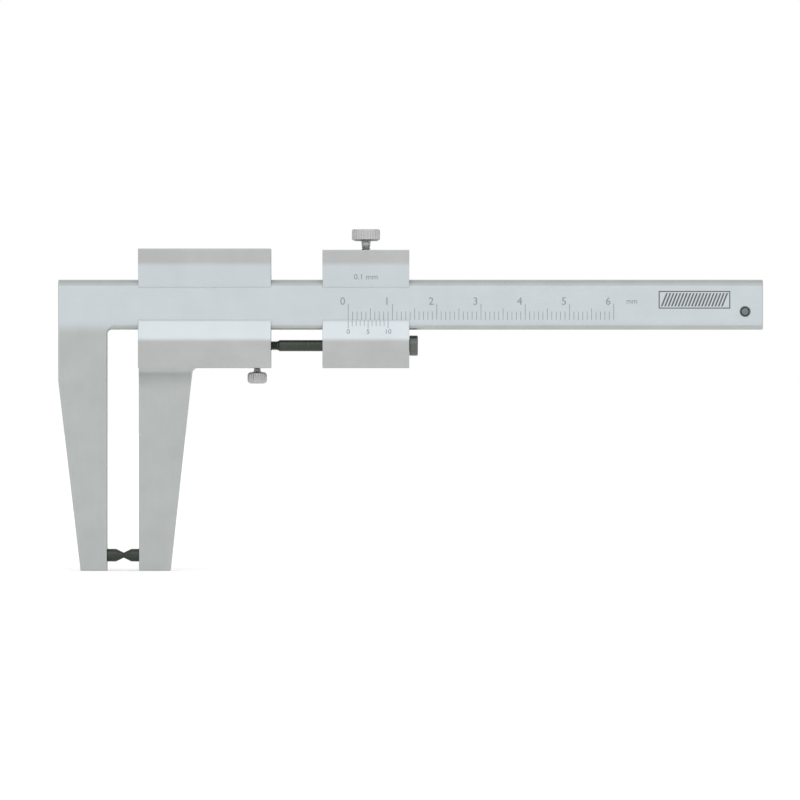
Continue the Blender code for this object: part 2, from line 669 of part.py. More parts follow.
def make_caliper():
    make_beam()
    make_stop_screw()
    make_tip("fixed_tip", FIXED_JAW_INNER_X, X_AXIS)

    vernier_slide = joint_frame("vernier_slide", (CLAMP_SCREW_X, 0, BEAM_MIDDLE_Z))
    vernier_pieces = [
        make_vernier_slider(),
        make_gib("vernier_gib", VERNIER_SLIDER_LEFT_X, VERNIER_SLIDER_LENGTH, VERNIER_SET_SCREW_SPREAD),
        *make_set_screws(
            "vernier_set_screw", CLAMP_SCREW_X, VERNIER_SET_SCREW_SPREAD, VERNIER_SLIDER_TOP_Z
        ),
    ]
    hang(vernier_pieces, vernier_slide)

    jaw_middle_x = JAW_SLIDER_LEFT_X + JAW_SLIDER_LENGTH / 2
    jaw_retract = joint_frame("jaw_retract", (jaw_middle_x, 0, BEAM_MIDDLE_Z), vernier_slide)
    jaw_pieces = [
        make_jaw_slider(),
        make_tip("moving_tip", MOVING_JAW_INNER_X, -X_AXIS),
        make_gib("jaw_gib", JAW_SLIDER_LEFT_X, JAW_SLIDER_LENGTH, JAW_SET_SCREW_SPREAD),
        *make_set_screws("jaw_set_screw", jaw_middle_x, JAW_SET_SCREW_SPREAD, JAW_SLIDER_TOP_Z),
    ]
    hang(jaw_pieces, jaw_retract)

    rod_set = joint_frame("rod_set", (JAW_SLIDER_RIGHT_X, 0, ROD_AXIS_Z), jaw_retract)
    hang([make_stop_rod(), make_stop_collar()], rod_set)

    clamp_pad, clamp_screw = make_clamp()
    clamp_feed = joint_frame("clamp_feed", (CLAMP_SCREW_X, 0, VERNIER_SLIDER_TOP_Z), vernier_slide)
    clamp_turn = joint_frame("clamp_turn", (CLAMP_SCREW_X, 0, VERNIER_SLIDER_TOP_Z), clamp_feed)
    hang([clamp_pad], clamp_feed)
    hang([clamp_screw], clamp_turn)

    lock_pad, lock_screw = make_lock()
    lock_feed = joint_frame("lock_feed", (LOCK_SCREW_X, 0, SLIDER_BOTTOM_Z), jaw_retract)
    lock_turn = joint_frame("lock_turn", (LOCK_SCREW_X, 0, SLIDER_BOTTOM_Z), lock_feed)
    hang([lock_pad], lock_feed)
    hang([lock_screw], lock_turn)


make_caliper()
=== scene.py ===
"""The look of the brake-disc vernier caliper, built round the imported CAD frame.

Every CAD node is replaced by a finer mesh of the same size that rides on the node's body: rounded
edges, an engraved scale and vernier, cut threads and knurled thumb screws. Places come from the CAD
nodes' boxes.
Frame: metres, +X along the beam, +Y from the scale side to the back, +Z up from the jaw ends.
"""

import json
import math
from types import SimpleNamespace

import bmesh
import bpy
from mathutils import Matrix, Vector

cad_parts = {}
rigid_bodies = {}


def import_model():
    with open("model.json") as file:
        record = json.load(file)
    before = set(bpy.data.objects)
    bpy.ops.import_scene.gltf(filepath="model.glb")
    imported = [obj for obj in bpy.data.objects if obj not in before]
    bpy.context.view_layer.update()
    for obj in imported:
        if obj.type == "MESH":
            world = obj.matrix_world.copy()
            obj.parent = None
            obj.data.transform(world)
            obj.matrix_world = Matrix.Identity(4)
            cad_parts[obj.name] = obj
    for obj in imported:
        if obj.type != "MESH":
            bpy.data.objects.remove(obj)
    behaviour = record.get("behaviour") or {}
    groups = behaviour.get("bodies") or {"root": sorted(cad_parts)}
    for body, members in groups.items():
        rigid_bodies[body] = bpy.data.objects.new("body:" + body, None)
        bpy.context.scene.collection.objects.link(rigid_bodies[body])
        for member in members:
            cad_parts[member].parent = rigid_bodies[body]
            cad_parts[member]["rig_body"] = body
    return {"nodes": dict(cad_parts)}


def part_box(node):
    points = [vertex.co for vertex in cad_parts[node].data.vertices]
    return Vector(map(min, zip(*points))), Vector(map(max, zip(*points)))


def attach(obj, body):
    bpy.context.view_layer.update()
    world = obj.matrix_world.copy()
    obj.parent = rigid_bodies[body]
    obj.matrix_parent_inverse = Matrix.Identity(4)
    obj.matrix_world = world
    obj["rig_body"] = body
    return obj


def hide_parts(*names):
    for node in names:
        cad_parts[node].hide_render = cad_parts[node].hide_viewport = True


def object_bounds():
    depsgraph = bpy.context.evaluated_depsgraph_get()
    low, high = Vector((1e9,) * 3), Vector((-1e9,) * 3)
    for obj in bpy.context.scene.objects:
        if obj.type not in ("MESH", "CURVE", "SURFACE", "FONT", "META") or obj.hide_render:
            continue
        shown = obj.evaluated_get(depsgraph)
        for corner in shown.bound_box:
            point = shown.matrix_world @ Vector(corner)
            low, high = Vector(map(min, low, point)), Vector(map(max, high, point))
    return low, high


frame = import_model()
cad_low, cad_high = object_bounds()

MM = 0.001

# Beam and fixed jaw
BEAM_HEIGHT = 11.3 * MM
BEAM_TOP_ROUNDING = 1.5 * MM
BEAM_BOTTOM_ROUNDING = 1.2 * MM
FIXED_JAW_END_HALF_WIDTH = 3.0 * MM
FIXED_JAW_TAPER_TOP_Z = 43.0 * MM
THROAT_FILLET = 1.0 * MM
JAW_EDGE_BREAK = 0.18 * MM

# Slider section, from the beam's edges
SLIDE_GAP = 0.05 * MM
SLOT_HEADROOM = 1.2 * MM
LIP_EDGE = 0.15 * MM
UPPER_BEVEL_RISE = 3.5 * MM  # above the beam's top edge
WINDOW_TOP_DROP = 1.8 * MM  # below the beam's top edge
WINDOW_BOTTOM_RISE = 2.2 * MM  # above the beam's bottom edge
LOWER_BEVEL_DROP = 2.2 * MM  # below the beam's bottom edge
SLIDER_EDGE_ROUNDING = 0.3 * MM
UPPER_BEVEL_SOFTNESS = 1.1 * MM
LOWER_BEVEL_SOFTNESS = 0.9 * MM
UPPER_LIP_SOFTNESS = 1.3 * MM
LOWER_LIP_SOFTNESS = 1.0 * MM
SLIDER_END_BREAK = 0.12 * MM

# Moving jaw, from the jaw slider
MOVING_JAW_INSET = 0.15 * MM
MOVING_JAW_END_WIDTH = 7.1 * MM
MOVING_JAW_ROOT_WIDTH = 11.8 * MM
MOVING_JAW_FILLET = 1.3 * MM
SHOULDER_DROP = 1.7 * MM  # from the slider's underside to the shoulder's lower edge
SHOULDER_ANGLE = 45  # degrees of curve in the shoulder
RUNOUT_RADIUS = 8.0 * MM  # the hollow below the shoulder that runs out to the jaw's thickness
JOIN_TUCK = 0.02 * MM  # joined surfaces cross by this much instead of just touching
JAW_ROOT_DEPTH = 2.0 * MM

# Scale on the beam, vernier on its slider
ZERO_LINE_INSET = 5.8 * MM  # from the vernier slider's left face
SCALE_CENTIMETRES = 6
LINE_WIDTH = 0.12 * MM
MARK_DEPTH = 0.05 * MM
MILLIMETRE_LINE = 1.9 * MM
HALF_CENTIMETRE_LINE = 2.6 * MM
CENTIMETRE_LINE = 3.6 * MM
SCALE_DIGIT_HEIGHT = 1.75 * MM
SCALE_DIGIT_SHIFT = 1.25 * MM  # the digit's middle, left of its line
SCALE_DIGIT_RISE = 4.3 * MM  # the digit's middle, above the lines' foot
SCALE_UNIT_SHIFT = 4.1 * MM  # the unit's middle, right of the last line
SCALE_UNIT_HEIGHT = 1.2 * MM
VERNIER_LINES = 10
VERNIER_PITCH = 0.9 * MM
VERNIER_LINE = 1.5 * MM
VERNIER_LONG_LINE = 2.0 * MM
VERNIER_DIGIT_HEIGHT = 1.15 * MM
VERNIER_DIGIT_DROP = 2.8 * MM  # the digit's middle, below the vernier edge
UNIT_TEXT_HEIGHT = 1.3 * MM
UNIT_TEXT_RISE = 2.6 * MM  # its middle, up the slope of the upper bevel
DIGIT_SHARE = 0.72  # a digit's height as a share of its font's size
NAME_FIELD_SIZE = (16.2 * MM, 4.0 * MM)
NAME_FIELD_MIDDLE = (15.5 * MM, 4.55 * MM)  # from the beam's right end and its top edge
NAME_FIELD_LINE = 0.25 * MM
NAME_FIELD_HATCHES = 19
NAME_FIELD_HATCH_WIDTH = 0.38 * MM
NAME_FIELD_HATCH_LEAN = 1.2 * MM

# Holes
HOLE_GAP = 0.03 * MM
HOLE_CHAMFER = 0.18 * MM

# Threads: pitch and depth
M2_THREAD = (0.40 * MM, 0.20 * MM)
M16_THREAD = (0.35 * MM, 0.17 * MM)
NECK_THREAD = (0.45 * MM, 0.16 * MM)
RINGS_PER_PITCH = 8

# Thumb screws
CLAMP_HEAD_HEIGHT = 2.7 * MM
CLAMP_KNURL_TEETH = 32
CLAMP_UNDERSIDE_CHAMFER = (0.65 * MM, 0.40 * MM)  # across and up
CLAMP_TOP_CHAMFER = 0.25 * MM
CLAMP_FLARE = 0.6 * MM
CLAMP_PLAIN_NECK = 0.9 * MM  # from the head down to the thread
LOCK_HEAD_HEIGHT = 2.65 * MM
LOCK_HEAD_ROUNDING = 0.8 * MM
LOCK_KNURL_TEETH = 26
LOCK_SCREW_RADIUS = 0.8 * MM
LOCK_FLARE = 0.3 * MM
KNURL_DEPTH = 0.13 * MM

# Measuring tips, rod, collar and small screws
TIP_CONE_LENGTH = 1.7 * MM
TIP_FLAT_RADIUS = 0.6 * MM
TIP_SHANK_RADIUS = 1.0 * MM
TIP_SHANK_LENGTH = 4.0 * MM
TIP_SOFTNESS = 0.1 * MM
ROD_NECK_RADIUS = 1.05 * MM
ROD_NECK_HELD = 7.0 * MM
ROD_NECK_EXPOSED = 1.6 * MM
ROD_STEP = 0.3 * MM  # the slope from the neck to the rod's full thickness
ROD_END_CHAMFER = 0.2 * MM
SPIGOT_RADIUS = 0.8 * MM
SPIGOT_CHAMFER = 0.1 * MM
COLLAR_CHAMFER = 0.15 * MM
PAD_CHAMFER = 0.1 * MM
GIB_EDGE_BREAK = 0.1 * MM
SCREW_RADIUS = 1.0 * MM
SET_SCREW_POINT_RADIUS = 0.55 * MM
SET_SCREW_POINT_LENGTH = 0.5 * MM
SET_SCREW_POINT_CHAMFER = 0.05 * MM
SET_SCREW_SLOT = (0.35 * MM, 0.70 * MM)  # width and depth
STOP_COUNTERSINK_RADIUS = 1.25 * MM
STOP_COUNTERSINK_DEPTH = 0.25 * MM
STOP_HEAD_HEIGHT = 1.2 * MM
STOP_SLOT = (0.40 * MM, 0.50 * MM)

# Fineness
ROUND_STEPS = 64
LONG_EDGE_SEGMENTS = 6
EDGE_SEGMENTS = 3
STEPS_PER_TOOTH = 4
CORNER_STEPS = 4
ARC_STEPS = 10
LETTER_STEPS = 3
SMOOTH_BELOW = math.radians(30)
TINY = 0.001 * MM

# Camera and stage
VIEW_WIDTH = 180.8 * MM  # across the picture at the beam's face
VIEW_SHIFT = -2.4 * MM  # the picture's middle, from the object's middle
LENS = 300
SENSOR = 36
FLOOR_HALF_SIZE = 6.0
FLOOR_COLOUR = (0.93, 0.93, 0.93, 1.0)
FLOOR_GLOW = 0.12
ROOM_LIGHT = 1.05
SOFTBOX_EXTRA = 0.44
SIDE_WALL_SHADE = 0.8
BACK_WALL_SHADE = 0.72

# Planes to draw on: local x and y go to these two world axes
FRONT_PLANE = Matrix(((1, 0, 0, 0), (0, 0, -1, 0), (0, 1, 0, 0), (0, 0, 0, 1)))
SECTION_PLANE = Matrix(((0, 0, 1, 0), (1, 0, 0, 0), (0, 1, 0, 0), (0, 0, 0, 1)))


def middle(low, high):
    return (low + high) / 2


def sides(node):
    """A CAD node's box, by name of side, with its middle along the beam and its middle height."""
    low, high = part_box(node)
    box = SimpleNamespace(left=low.x, right=high.x, front=low.y, back=high.y, bottom=low.z, top=high.z)
    box.mid_x = middle(low.x, high.x)
    box.mid_z = middle(low.z, high.z)
    return box


JAW_SET_SCREWS = ("jaw_set_screw_left", "jaw_set_screw_right")
VERNIER_SET_SCREWS = ("vernier_set_screw_left", "vernier_set_screw_right")

BEAM = sides("beam")
JAW_SLIDER = sides("jaw_slider")
VERNIER_SLIDER = sides("vernier_slider")
BEAM_BOTTOM_Z = BEAM.top - BEAM_HEIGHT
SLIDER_BOTTOM_Z = VERNIER_SLIDER.bottom
SLOT_TOP_Z = BEAM.top + SLOT_HEADROOM
WINDOW_TOP_Z = BEAM.top - WINDOW_TOP_DROP
WINDOW_BOTTOM_Z = BEAM_BOTTOM_Z + WINDOW_BOTTOM_RISE
ZERO_LINE_X = VERNIER_SLIDER.left + ZERO_LINE_INSET
FIXED_JAW_INNER_X = FIXED_JAW_END_HALF_WIDTH


# ---- material nodes


def add_node(tree, kind, inputs=None, **settings):
    """Adds a shader node. An input given as a socket is linked, and any other value is set."""
    node = tree.nodes.new(f"ShaderNode{kind}")
    for name, value in settings.items():
        setattr(node, name, value)
    for name, value in (inputs or {}).items():
        if isinstance(value, bpy.types.NodeSocket):
            tree.links.new(value, node.inputs[name])
        else:
            node.inputs[name].default_value = value
    return node


def maths(tree, operation, first, second=0.0):
    return add_node(tree, "Math", {0: first, 1: second}, operation=operation).outputs[0]


def product(tree, first, second):
    return maths(tree, "MULTIPLY", first, second)


def between(tree, value, low, high, at_low=0.0, at_high=1.0):
    """The value's place between low and high, smoothly, as a number from at_low to at_high."""
    inputs = {"Value": value, "From Min": low, "From Max": high, "To Min": at_low, "To Max": at_high}
    return add_node(tree, "MapRange", inputs, interpolation_type="SMOOTHSTEP").outputs["Result"]


def blend(tree, share, first, second):
    """The first number where share is 0, the second where it is 1."""
    return add_node(tree, "Mix", {0: share, 2: first, 3: second}).outputs[0]


def mix_colours(tree, share, first, second):
    """The first colour where share is 0, the second where it is 1."""
    node = add_node(tree, "Mix", {0: share, 6: first, 7: second}, data_type="RGBA")
    return node.outputs[2]


def noise(tree, place, scale, detail=2.0):
    """Noise from 0 to 1. The scale has a value for each axis, in features a metre."""
    stretched = add_node(tree, "Mapping", {"Vector": place, "Scale": scale}).outputs["Vector"]
    inputs = {"Vector": stretched, "Scale": 1.0, "Detail": detail}
    return add_node(tree, "TexNoise", inputs).outputs["Fac"]


def new_material(name):
    """A material and its node tree, still empty."""
    material = bpy.data.materials.new(name)
    material.use_nodes = True
    material.node_tree.nodes.clear()
    return material, material.node_tree


def close_material(tree, colour, roughness, height, height_step):
    """The metal surface that every finish ends in, with its fine relief of height_step metres."""
    relief = {"Height": height, "Distance": height_step, "Strength": 1.0}
    normal = add_node(tree, "Bump", relief).outputs["Normal"]
    surface = {"Base Color": colour, "Roughness": roughness, "Metallic": 1.0, "Normal": normal}
    shader = add_node(tree, "BsdfPrincipled", surface)
    add_node(tree, "OutputMaterial", {"Surface": shader.outputs["BSDF"]})


def object_place(tree):
    return add_node(tree, "TexCoord").outputs["Object"]


def axis_of(tree, vector, axis):
    return add_node(tree, "SeparateXYZ", {0: vector}).outputs[axis]


def lean_along(tree, axis):
    """How far the surface faces along a world axis, from -1 to 1."""
    return axis_of(tree, add_node(tree, "NewGeometry").outputs["Normal"], axis)


# Scratches: features a metre across them and along them, and their weight in the grain
FINE_SCRATCHES = (11000.0, 350.0, 0.6)
BROAD_STREAKS = (2200.0, 60.0, 0.4)


def grain(tree, place, along):
    """Parallel scratches from 0 to 1, fine ones with broader streaks under them. Along is 0, 1 or 2."""
    layers = []
    for across, lengthwise, weight in (FINE_SCRATCHES, BROAD_STREAKS):
        scale = [across] * 3
        scale[along] = lengthwise
        layers.append(product(tree, noise(tree, place, scale), weight))
    return maths(tree, "ADD", *layers)


def scaled(colour, share):
    """The colour made lighter or darker, with its alpha."""
    return (*[min(part * share, 1.0) for part in colour], 1.0)


def varied(tree, colour, pattern, amount):
    """The colour made lighter and darker by the pattern."""
    return mix_colours(tree, pattern, scaled(colour, 1 - amount), scaled(colour, 1 + amount))


def cloud(tree, place):
    """Slow, soft changes over some millimetres, as handling and cleaning leave."""
    return noise(tree, place, (170.0, 170.0, 170.0), 3.0)


# ---- the metals

# Colours are linear red, green and blue. A shade is what a colour is multiplied by.
SATIN_COLOUR = (0.549, 0.592, 0.618)
JAW_COLOUR = (0.430, 0.456, 0.446)
FLAT_COLOUR = (0.448, 0.460, 0.454)
SCREW_COLOUR = (0.51, 0.51, 0.51)
LOCK_COLOUR = (0.44, 0.44, 0.44)
STOP_COLOUR = (0.185, 0.20, 0.21)
BLACK_COLOUR = (0.058, 0.066, 0.058)
COLLAR_COLOUR = (0.125, 0.138, 0.130)
BRONZE_COLOUR = (0.52, 0.33, 0.16)
# Painted shade on the thumb screws' threads and necks, and painted light on their flares under the head.
THREAD_PAINTED_SHADE = 0.75
FLARE_PAINTED_LIGHT = 1.9
# Painted shade: how much colour the beam's top rounding keeps.
BEAM_TOP_PAINTED_SHADE = 0.91
# Painted shade below the moving jaw's shoulder: how much colour is kept there, and how far down it
# reaches.
SHOULDER_PAINTED_SHADE = 0.88
SHOULDER_PAINTED_SHADE_LENGTH = 3.74 * MM
SHADE_CHANGE = 0.2 * MM
CHROME_FADE = 1.2 * MM
SATIN_ROUGHNESS = (0.36, 0.46)
GROUND_ROUGHNESS = (0.34, 0.50)
SATIN_VARIATION = 0.05
GROUND_VARIATION = 0.09
GROUND_RELIEF = 0.0012 * MM
TURNED_RELIEF = 0.0015 * MM


def two_finishes(name, satin_share, ground_colour, ground_along, shade=None):
    """Satin chrome where satin_share(tree, place) is 1, ground steel where it is 0.

    The painted shade, if there is one, gives how much of the colour is kept, from 0 to 1.
    """
    material, tree = new_material(name)
    place = object_place(tree)
    share = satin_share(tree, place)
    satin_grain = grain(tree, place, 0)
    ground_grain = grain(tree, place, ground_along)
    mottling = maths(tree, "SUBTRACT", cloud(tree, place), 0.5)
    satin = varied(tree, SATIN_COLOUR, maths(tree, "ADD", satin_grain, mottling), SATIN_VARIATION)
    ground_pattern = maths(tree, "ADD", ground_grain, mottling)
    ground = varied(tree, ground_colour, ground_pattern, GROUND_VARIATION)
    colour = mix_colours(tree, share, ground, satin)
    if shade:
        # Painted shade: the colour is darkened towards black by the shade's factor.
        colour = mix_colours(tree, shade(tree, place), (0, 0, 0, 1), colour)
    satin_rough = between(tree, satin_grain, 0.2, 0.8, *SATIN_ROUGHNESS)
    ground_rough = between(tree, ground_grain, 0.2, 0.8, *GROUND_ROUGHNESS)
    roughness = blend(tree, share, ground_rough, satin_rough)
    relief = blend(tree, share, ground_grain, satin_grain)
    close_material(tree, colour, roughness, relief, GROUND_RELIEF)
    return material


def facing_front(tree):
    """1 on faces square to the beam's depth, front or back, and 0 from a slight turn on."""
    return between(tree, maths(tree, "ABSOLUTE", lean_along(tree, 1)), 0.982, 0.9995)


def beam_satin(tree, place):
    """The beam's two flat faces are chromed, and the chrome fades out into the fixed jaw."""
    height = axis_of(tree, place, 2)
    above_jaw = between(tree, height, BEAM_BOTTOM_Z - CHROME_FADE, WINDOW_BOTTOM_Z)
    return product(tree, above_jaw, facing_front(tree))


def beam_shade(tree, _place):
    """Painted shade darkens the rounding along the beam's top edge, on the part that faces partly up."""
    lean = lean_along(tree, 2)
    painted_band = product(tree, between(tree, lean, 0.02, 0.2), between(tree, lean, 0.9, 0.6))
    return between(tree, painted_band, 0.0, 1.0, 1.0, BEAM_TOP_PAINTED_SHADE)


def slider_satin(tree, place):
    """The slanted lips are chromed, and the flats with their outer edges are ground."""
    lean = maths(tree, "ABSOLUTE", lean_along(tree, 2))
    front = between(tree, lean_along(tree, 1), 0.0, -0.2)
    slanted = product(tree, between(tree, lean, 0.04, 0.28), front)
    height = axis_of(tree, place, 2)
    lips_low = BEAM_BOTTOM_Z - LOWER_BEVEL_DROP
    lips_high = BEAM.top + UPPER_BEVEL_RISE
    above = between(tree, height, lips_low - MM, lips_low)
    below = between(tree, height, lips_high + MM, lips_high)
    return product(tree, slanted, product(tree, above, below))


def no_satin(_tree, _place):
    return 0.0


def jaw_shade(tree, place):
    """Painted shade darkens the moving jaw just below its shoulder, where the shoulder shades it."""
    shoulder_z = SLIDER_BOTTOM_Z - SHOULDER_DROP
    height = axis_of(tree, place, 2)
    below = between(tree, height, shoulder_z - SHOULDER_PAINTED_SHADE_LENGTH, shoulder_z, 1.0, SHOULDER_PAINTED_SHADE)
    above = between(tree, height, shoulder_z, shoulder_z + MM)
    return maths(tree, "MAXIMUM", below, above)


def turned_metal(name, colour, variation, roughness, flare=None):
    """Metal with fine rings round local Z.

    A thumb screw's thread and neck get painted shade, and painted light brightens its flare up to the
    head, at height 0.
    """
    material, tree = new_material(name)
    place = object_place(tree)
    parts = add_node(tree, "SeparateXYZ", {0: place})
    across = add_node(tree, "CombineXYZ", {0: parts.outputs[0], 1: parts.outputs[1]}).outputs[0]
    radius = add_node(tree, "VectorMath", {0: across}, operation="LENGTH").outputs["Value"]
    ringed = add_node(tree, "CombineXYZ", {0: radius, 2: parts.outputs[2]}).outputs[0]
    rings = noise(tree, ringed, (9000.0, 1.0, 9000.0))
    soft = noise(tree, place, (500.0, 500.0, 500.0), 3.0)
    pattern = maths(tree, "ADD", rings, maths(tree, "SUBTRACT", soft, 0.5))
    shade = varied(tree, colour, pattern, variation)
    if flare:
        # Painted shade below the flare, painted light rising over the flare to the head.
        height = parts.outputs[2]
        painted_light_along_flare = between(tree, height, -flare, 0.0)
        neck = mix_colours(tree, painted_light_along_flare, scaled(colour, THREAD_PAINTED_SHADE), scaled(colour, FLARE_PAINTED_LIGHT))
        shade = mix_colours(tree, between(tree, height, 0.0, SHADE_CHANGE), neck, shade)
    rough = between(tree, pattern, 0.2, 0.9, roughness - 0.05, roughness + 0.09)
    close_material(tree, shade, rough, rings, TURNED_RELIEF)
    return material


def strip_metal(name, colour, along, roughness):
    """Drawn or rolled metal with its grain along one axis."""
    material, tree = new_material(name)
    place = object_place(tree)
    lines = grain(tree, place, along)
    pattern = maths(tree, "ADD", lines, maths(tree, "SUBTRACT", cloud(tree, place), 0.5))
    rough = between(tree, lines, 0.2, 0.8, roughness - 0.06, roughness + 0.08)
    close_material(tree, varied(tree, colour, pattern, 0.12), rough, lines, TURNED_RELIEF)
    return material


def mark_paint(name, colour):
    """The matt grey filling of engraved lines and digits."""
    material, tree = new_material(name)
    specks = noise(tree, object_place(tree), (6000.0, 6000.0, 6000.0), 4.0)
    shade = varied(tree, colour, specks, 0.25)
    rough = between(tree, specks, 0.2, 0.8, 0.55, 0.8)
    surface = {"Base Color": shade, "Roughness": rough, "Metallic": 0.2}
    shader = add_node(tree, "BsdfPrincipled", surface)
    add_node(tree, "OutputMaterial", {"Surface": shader.outputs["BSDF"]})
    return material


# The beam's metal carries painted shade on its top rounding, and the moving jaw's metal carries it below
# the shoulder.
BEAM_METAL = two_finishes("beam_chrome_ground_steel_and_painted_shade", beam_satin, JAW_COLOUR, 2, beam_shade)
SLIDER_METAL = two_finishes("slider_chrome_and_ground_steel", slider_satin, FLAT_COLOUR, 0)
JAW_METAL = two_finishes("jaw_ground_steel_with_painted_shade", no_satin, JAW_COLOUR, 2, jaw_shade)
SCREW_METAL = turned_metal("bright_turned_steel", SCREW_COLOUR, 0.10, 0.26)
CLAMP_METAL = turned_metal("clamp_screw_steel_painted_light_and_shade", SCREW_COLOUR, 0.10, 0.26, CLAMP_FLARE)
LOCK_METAL = turned_metal("lock_screw_steel_painted_light_and_shade", LOCK_COLOUR, 0.10, 0.28, LOCK_FLARE)
BLACK_METAL = turned_metal("black_oxide_steel", BLACK_COLOUR, 0.25, 0.30)
STOP_METAL = turned_metal("stop_screw_steel", STOP_COLOUR, 0.20, 0.32)
COLLAR_METAL = turned_metal("worn_black_oxide_steel", COLLAR_COLOUR, 0.20, 0.32)
BRONZE_STRIP = strip_metal("rolled_bronze", BRONZE_COLOUR, 0, 0.34)
BRONZE_ROD = turned_metal("turned_bronze", BRONZE_COLOUR, 0.12, 0.32)
PAINT = mark_paint("engraving_paint", (0.27, 0.285, 0.30))
FIELD_PAINT = mark_paint("name_field_etch", (0.13, 0.135, 0.14))


# ---- mesh helpers


def arc(centre, radius, start, end, steps=ARC_STEPS):
    """Points on a circle from the start angle to the end angle, in degrees, both ends included."""
    points = []
    for step in range(steps + 1):
        angle = math.radians(start + (end - start) * step / steps)
        points.append((centre[0] + radius * math.cos(angle), centre[1] + radius * math.sin(angle)))
    return points


def corner(before, here, after, reach, steps=CORNER_STEPS):
    """Points that round the corner at here, reaching to each side of it. Reach 0 leaves it sharp."""
    here = Vector(here)
    if not reach:
        return [tuple(here)]
    back = Vector(before) - here
    ahead = Vector(after) - here
    start = here + back.normalized() * min(reach, 0.9 * back.length)
    end = here + ahead.normalized() * min(reach, 0.9 * ahead.length)
    points = []
    for step in range(steps + 1):
        share = step / steps
        points.append(tuple(start.lerp(here, share).lerp(here.lerp(end, share), share)))
    return points


def softened(points, reach):
    """An open run of points with each inner corner rounded."""
    result = [points[0]]
    for before, here, after in zip(points, points[1:], points[2:]):
        result += corner(before, here, after, reach, EDGE_SEGMENTS)
    return [*result, points[-1]]


def object_from(shape, name, material=None, matrix=None):
    """Puts a finished bmesh in the scene as an object."""
    bmesh.ops.recalc_face_normals(shape, faces=shape.faces)
    mesh = bpy.data.meshes.new(name)
    shape.to_mesh(mesh)
    shape.free()
    obj = bpy.data.objects.new(name, mesh)
    bpy.context.scene.collection.objects.link(obj)
    if material:
        mesh.materials.append(material)
    if matrix:
        obj.matrix_world = matrix
    return obj


def add_slab(shape, outline, half_depth, plane):
    """Adds a solid to the bmesh: a closed flat outline, reaching half_depth to each side of the plane."""
    corners = [shape.verts.new(plane @ Vector((across, up, -half_depth))) for across, up in outline]
    face = shape.faces.new(corners)
    moved = bmesh.ops.extrude_face_region(shape, geom=[face])["geom"]
    top = [item for item in moved if isinstance(item, bmesh.types.BMVert)]
    bmesh.ops.translate(shape, verts=top, vec=plane.to_3x3() @ Vector((0, 0, 2 * half_depth)))


def slab(name, outline, half_depth, plane, material=None):
    shape = bmesh.new()
    add_slab(shape, outline, half_depth, plane)
    return object_from(shape, name, material)


def weight_edges(shape, width_of, widest):
    """Stores how wide each edge is to be rounded, as a share of the widest."""
    layer = shape.edges.layers.float.new("bevel_weight_edge")
    for edge in shape.edges:
        edge[layer] = width_of(edge) / widest


def shown_mesh(obj):
    """A new mesh of what the object shows, with its modifiers or as drawn lettering."""
    bpy.context.view_layer.update()
    graph = bpy.context.evaluated_depsgraph_get()
    return bpy.data.meshes.new_from_object(obj.evaluated_get(graph), depsgraph=graph)


def apply_modifiers(obj):
    mesh = shown_mesh(obj)
    obj.modifiers.clear()
    obj.data = mesh


def round_edges(obj, width, segments=EDGE_SEGMENTS, limit="ANGLE"):
    """Rounds the sharp edges, or with the limit WEIGHT those that weight_edges has given a width."""
    step = obj.modifiers.new("rounding", "BEVEL")
    step.width = width
    step.segments = segments
    step.limit_method = limit
    step.angle_limit = SMOOTH_BELOW
    step.use_clamp_overlap = False
    step.miter_outer = "MITER_ARC"
    apply_modifiers(obj)


def combine(obj, other, operation):
    """Joins the other shape to the object or cuts it away, and removes it.

    The other shape's faces keep its own material, or take the object's if it has none.
    """
    if not other.data.materials:
        other.data.materials.append(obj.data.materials[0])
    step = obj.modifiers.new(other.name, "BOOLEAN")
    step.operation = operation
    step.object = other
    step.solver = "EXACT"
    step.material_mode = "TRANSFER"
    apply_modifiers(obj)
    bpy.data.objects.remove(other)


def cut(obj, cutter):
    combine(obj, cutter, "DIFFERENCE")


def pointing(direction, at):
    """The matrix that turns local +Z to the direction and moves the origin to the point."""
    turn = Vector((0, 0, 1)).rotation_difference(Vector(direction)).to_matrix().to_4x4()
    return Matrix.Translation(at) @ turn


def turned(name, profile, matrix, material=None, steps=ROUND_STEPS, reliefs=(), bored=False):
    """A turned solid round local Z, from (radius, height) points. Each relief draws its surface in.

    A bored one is a ring, whose profile closes on itself.
    """
    shape = bmesh.new()
    rings = []
    for radius, height in profile:
        ring = []
        for step in range(steps):
            angle = math.tau * step / steps
            at = radius - sum(relief(angle, height) for relief in reliefs)
            ring.append(shape.verts.new((at * math.cos(angle), at * math.sin(angle), height)))
        rings.append(ring)
    pairs = list(zip(rings, rings[1:]))
    if bored:
        pairs.append((rings[-1], rings[0]))
    for low, high in pairs:
        for step in range(steps):
            following = (step + 1) % steps
            shape.faces.new((low[step], low[following], high[following], high[step]))
    if not bored:
        shape.faces.new(rings[0])
        shape.faces.new(rings[-1])
    return object_from(shape, name, material, matrix)


def chamfered(radius, length, edge):
    """The profile of a plain cylinder with a chamfer at each end."""
    return [(radius - edge, 0), (radius, edge), (radius, length - edge), (radius - edge, length)]


def divided(profile, start, end, spacing):
    """The profile with extra points between the heights start and end, for a relief to show."""
    result = []
    for first, second in zip(profile, profile[1:]):
        result.append(first)
        span = second[1] - first[1]
        inside = min(first[1], second[1]) < end and max(first[1], second[1]) > start
        count = max(1, round(abs(span) / spacing)) if inside else 1
        for step in range(1, count):
            share = step / count
            result.append((first[0] + (second[0] - first[0]) * share, first[1] + span * share))
    return [*result, profile[-1]]


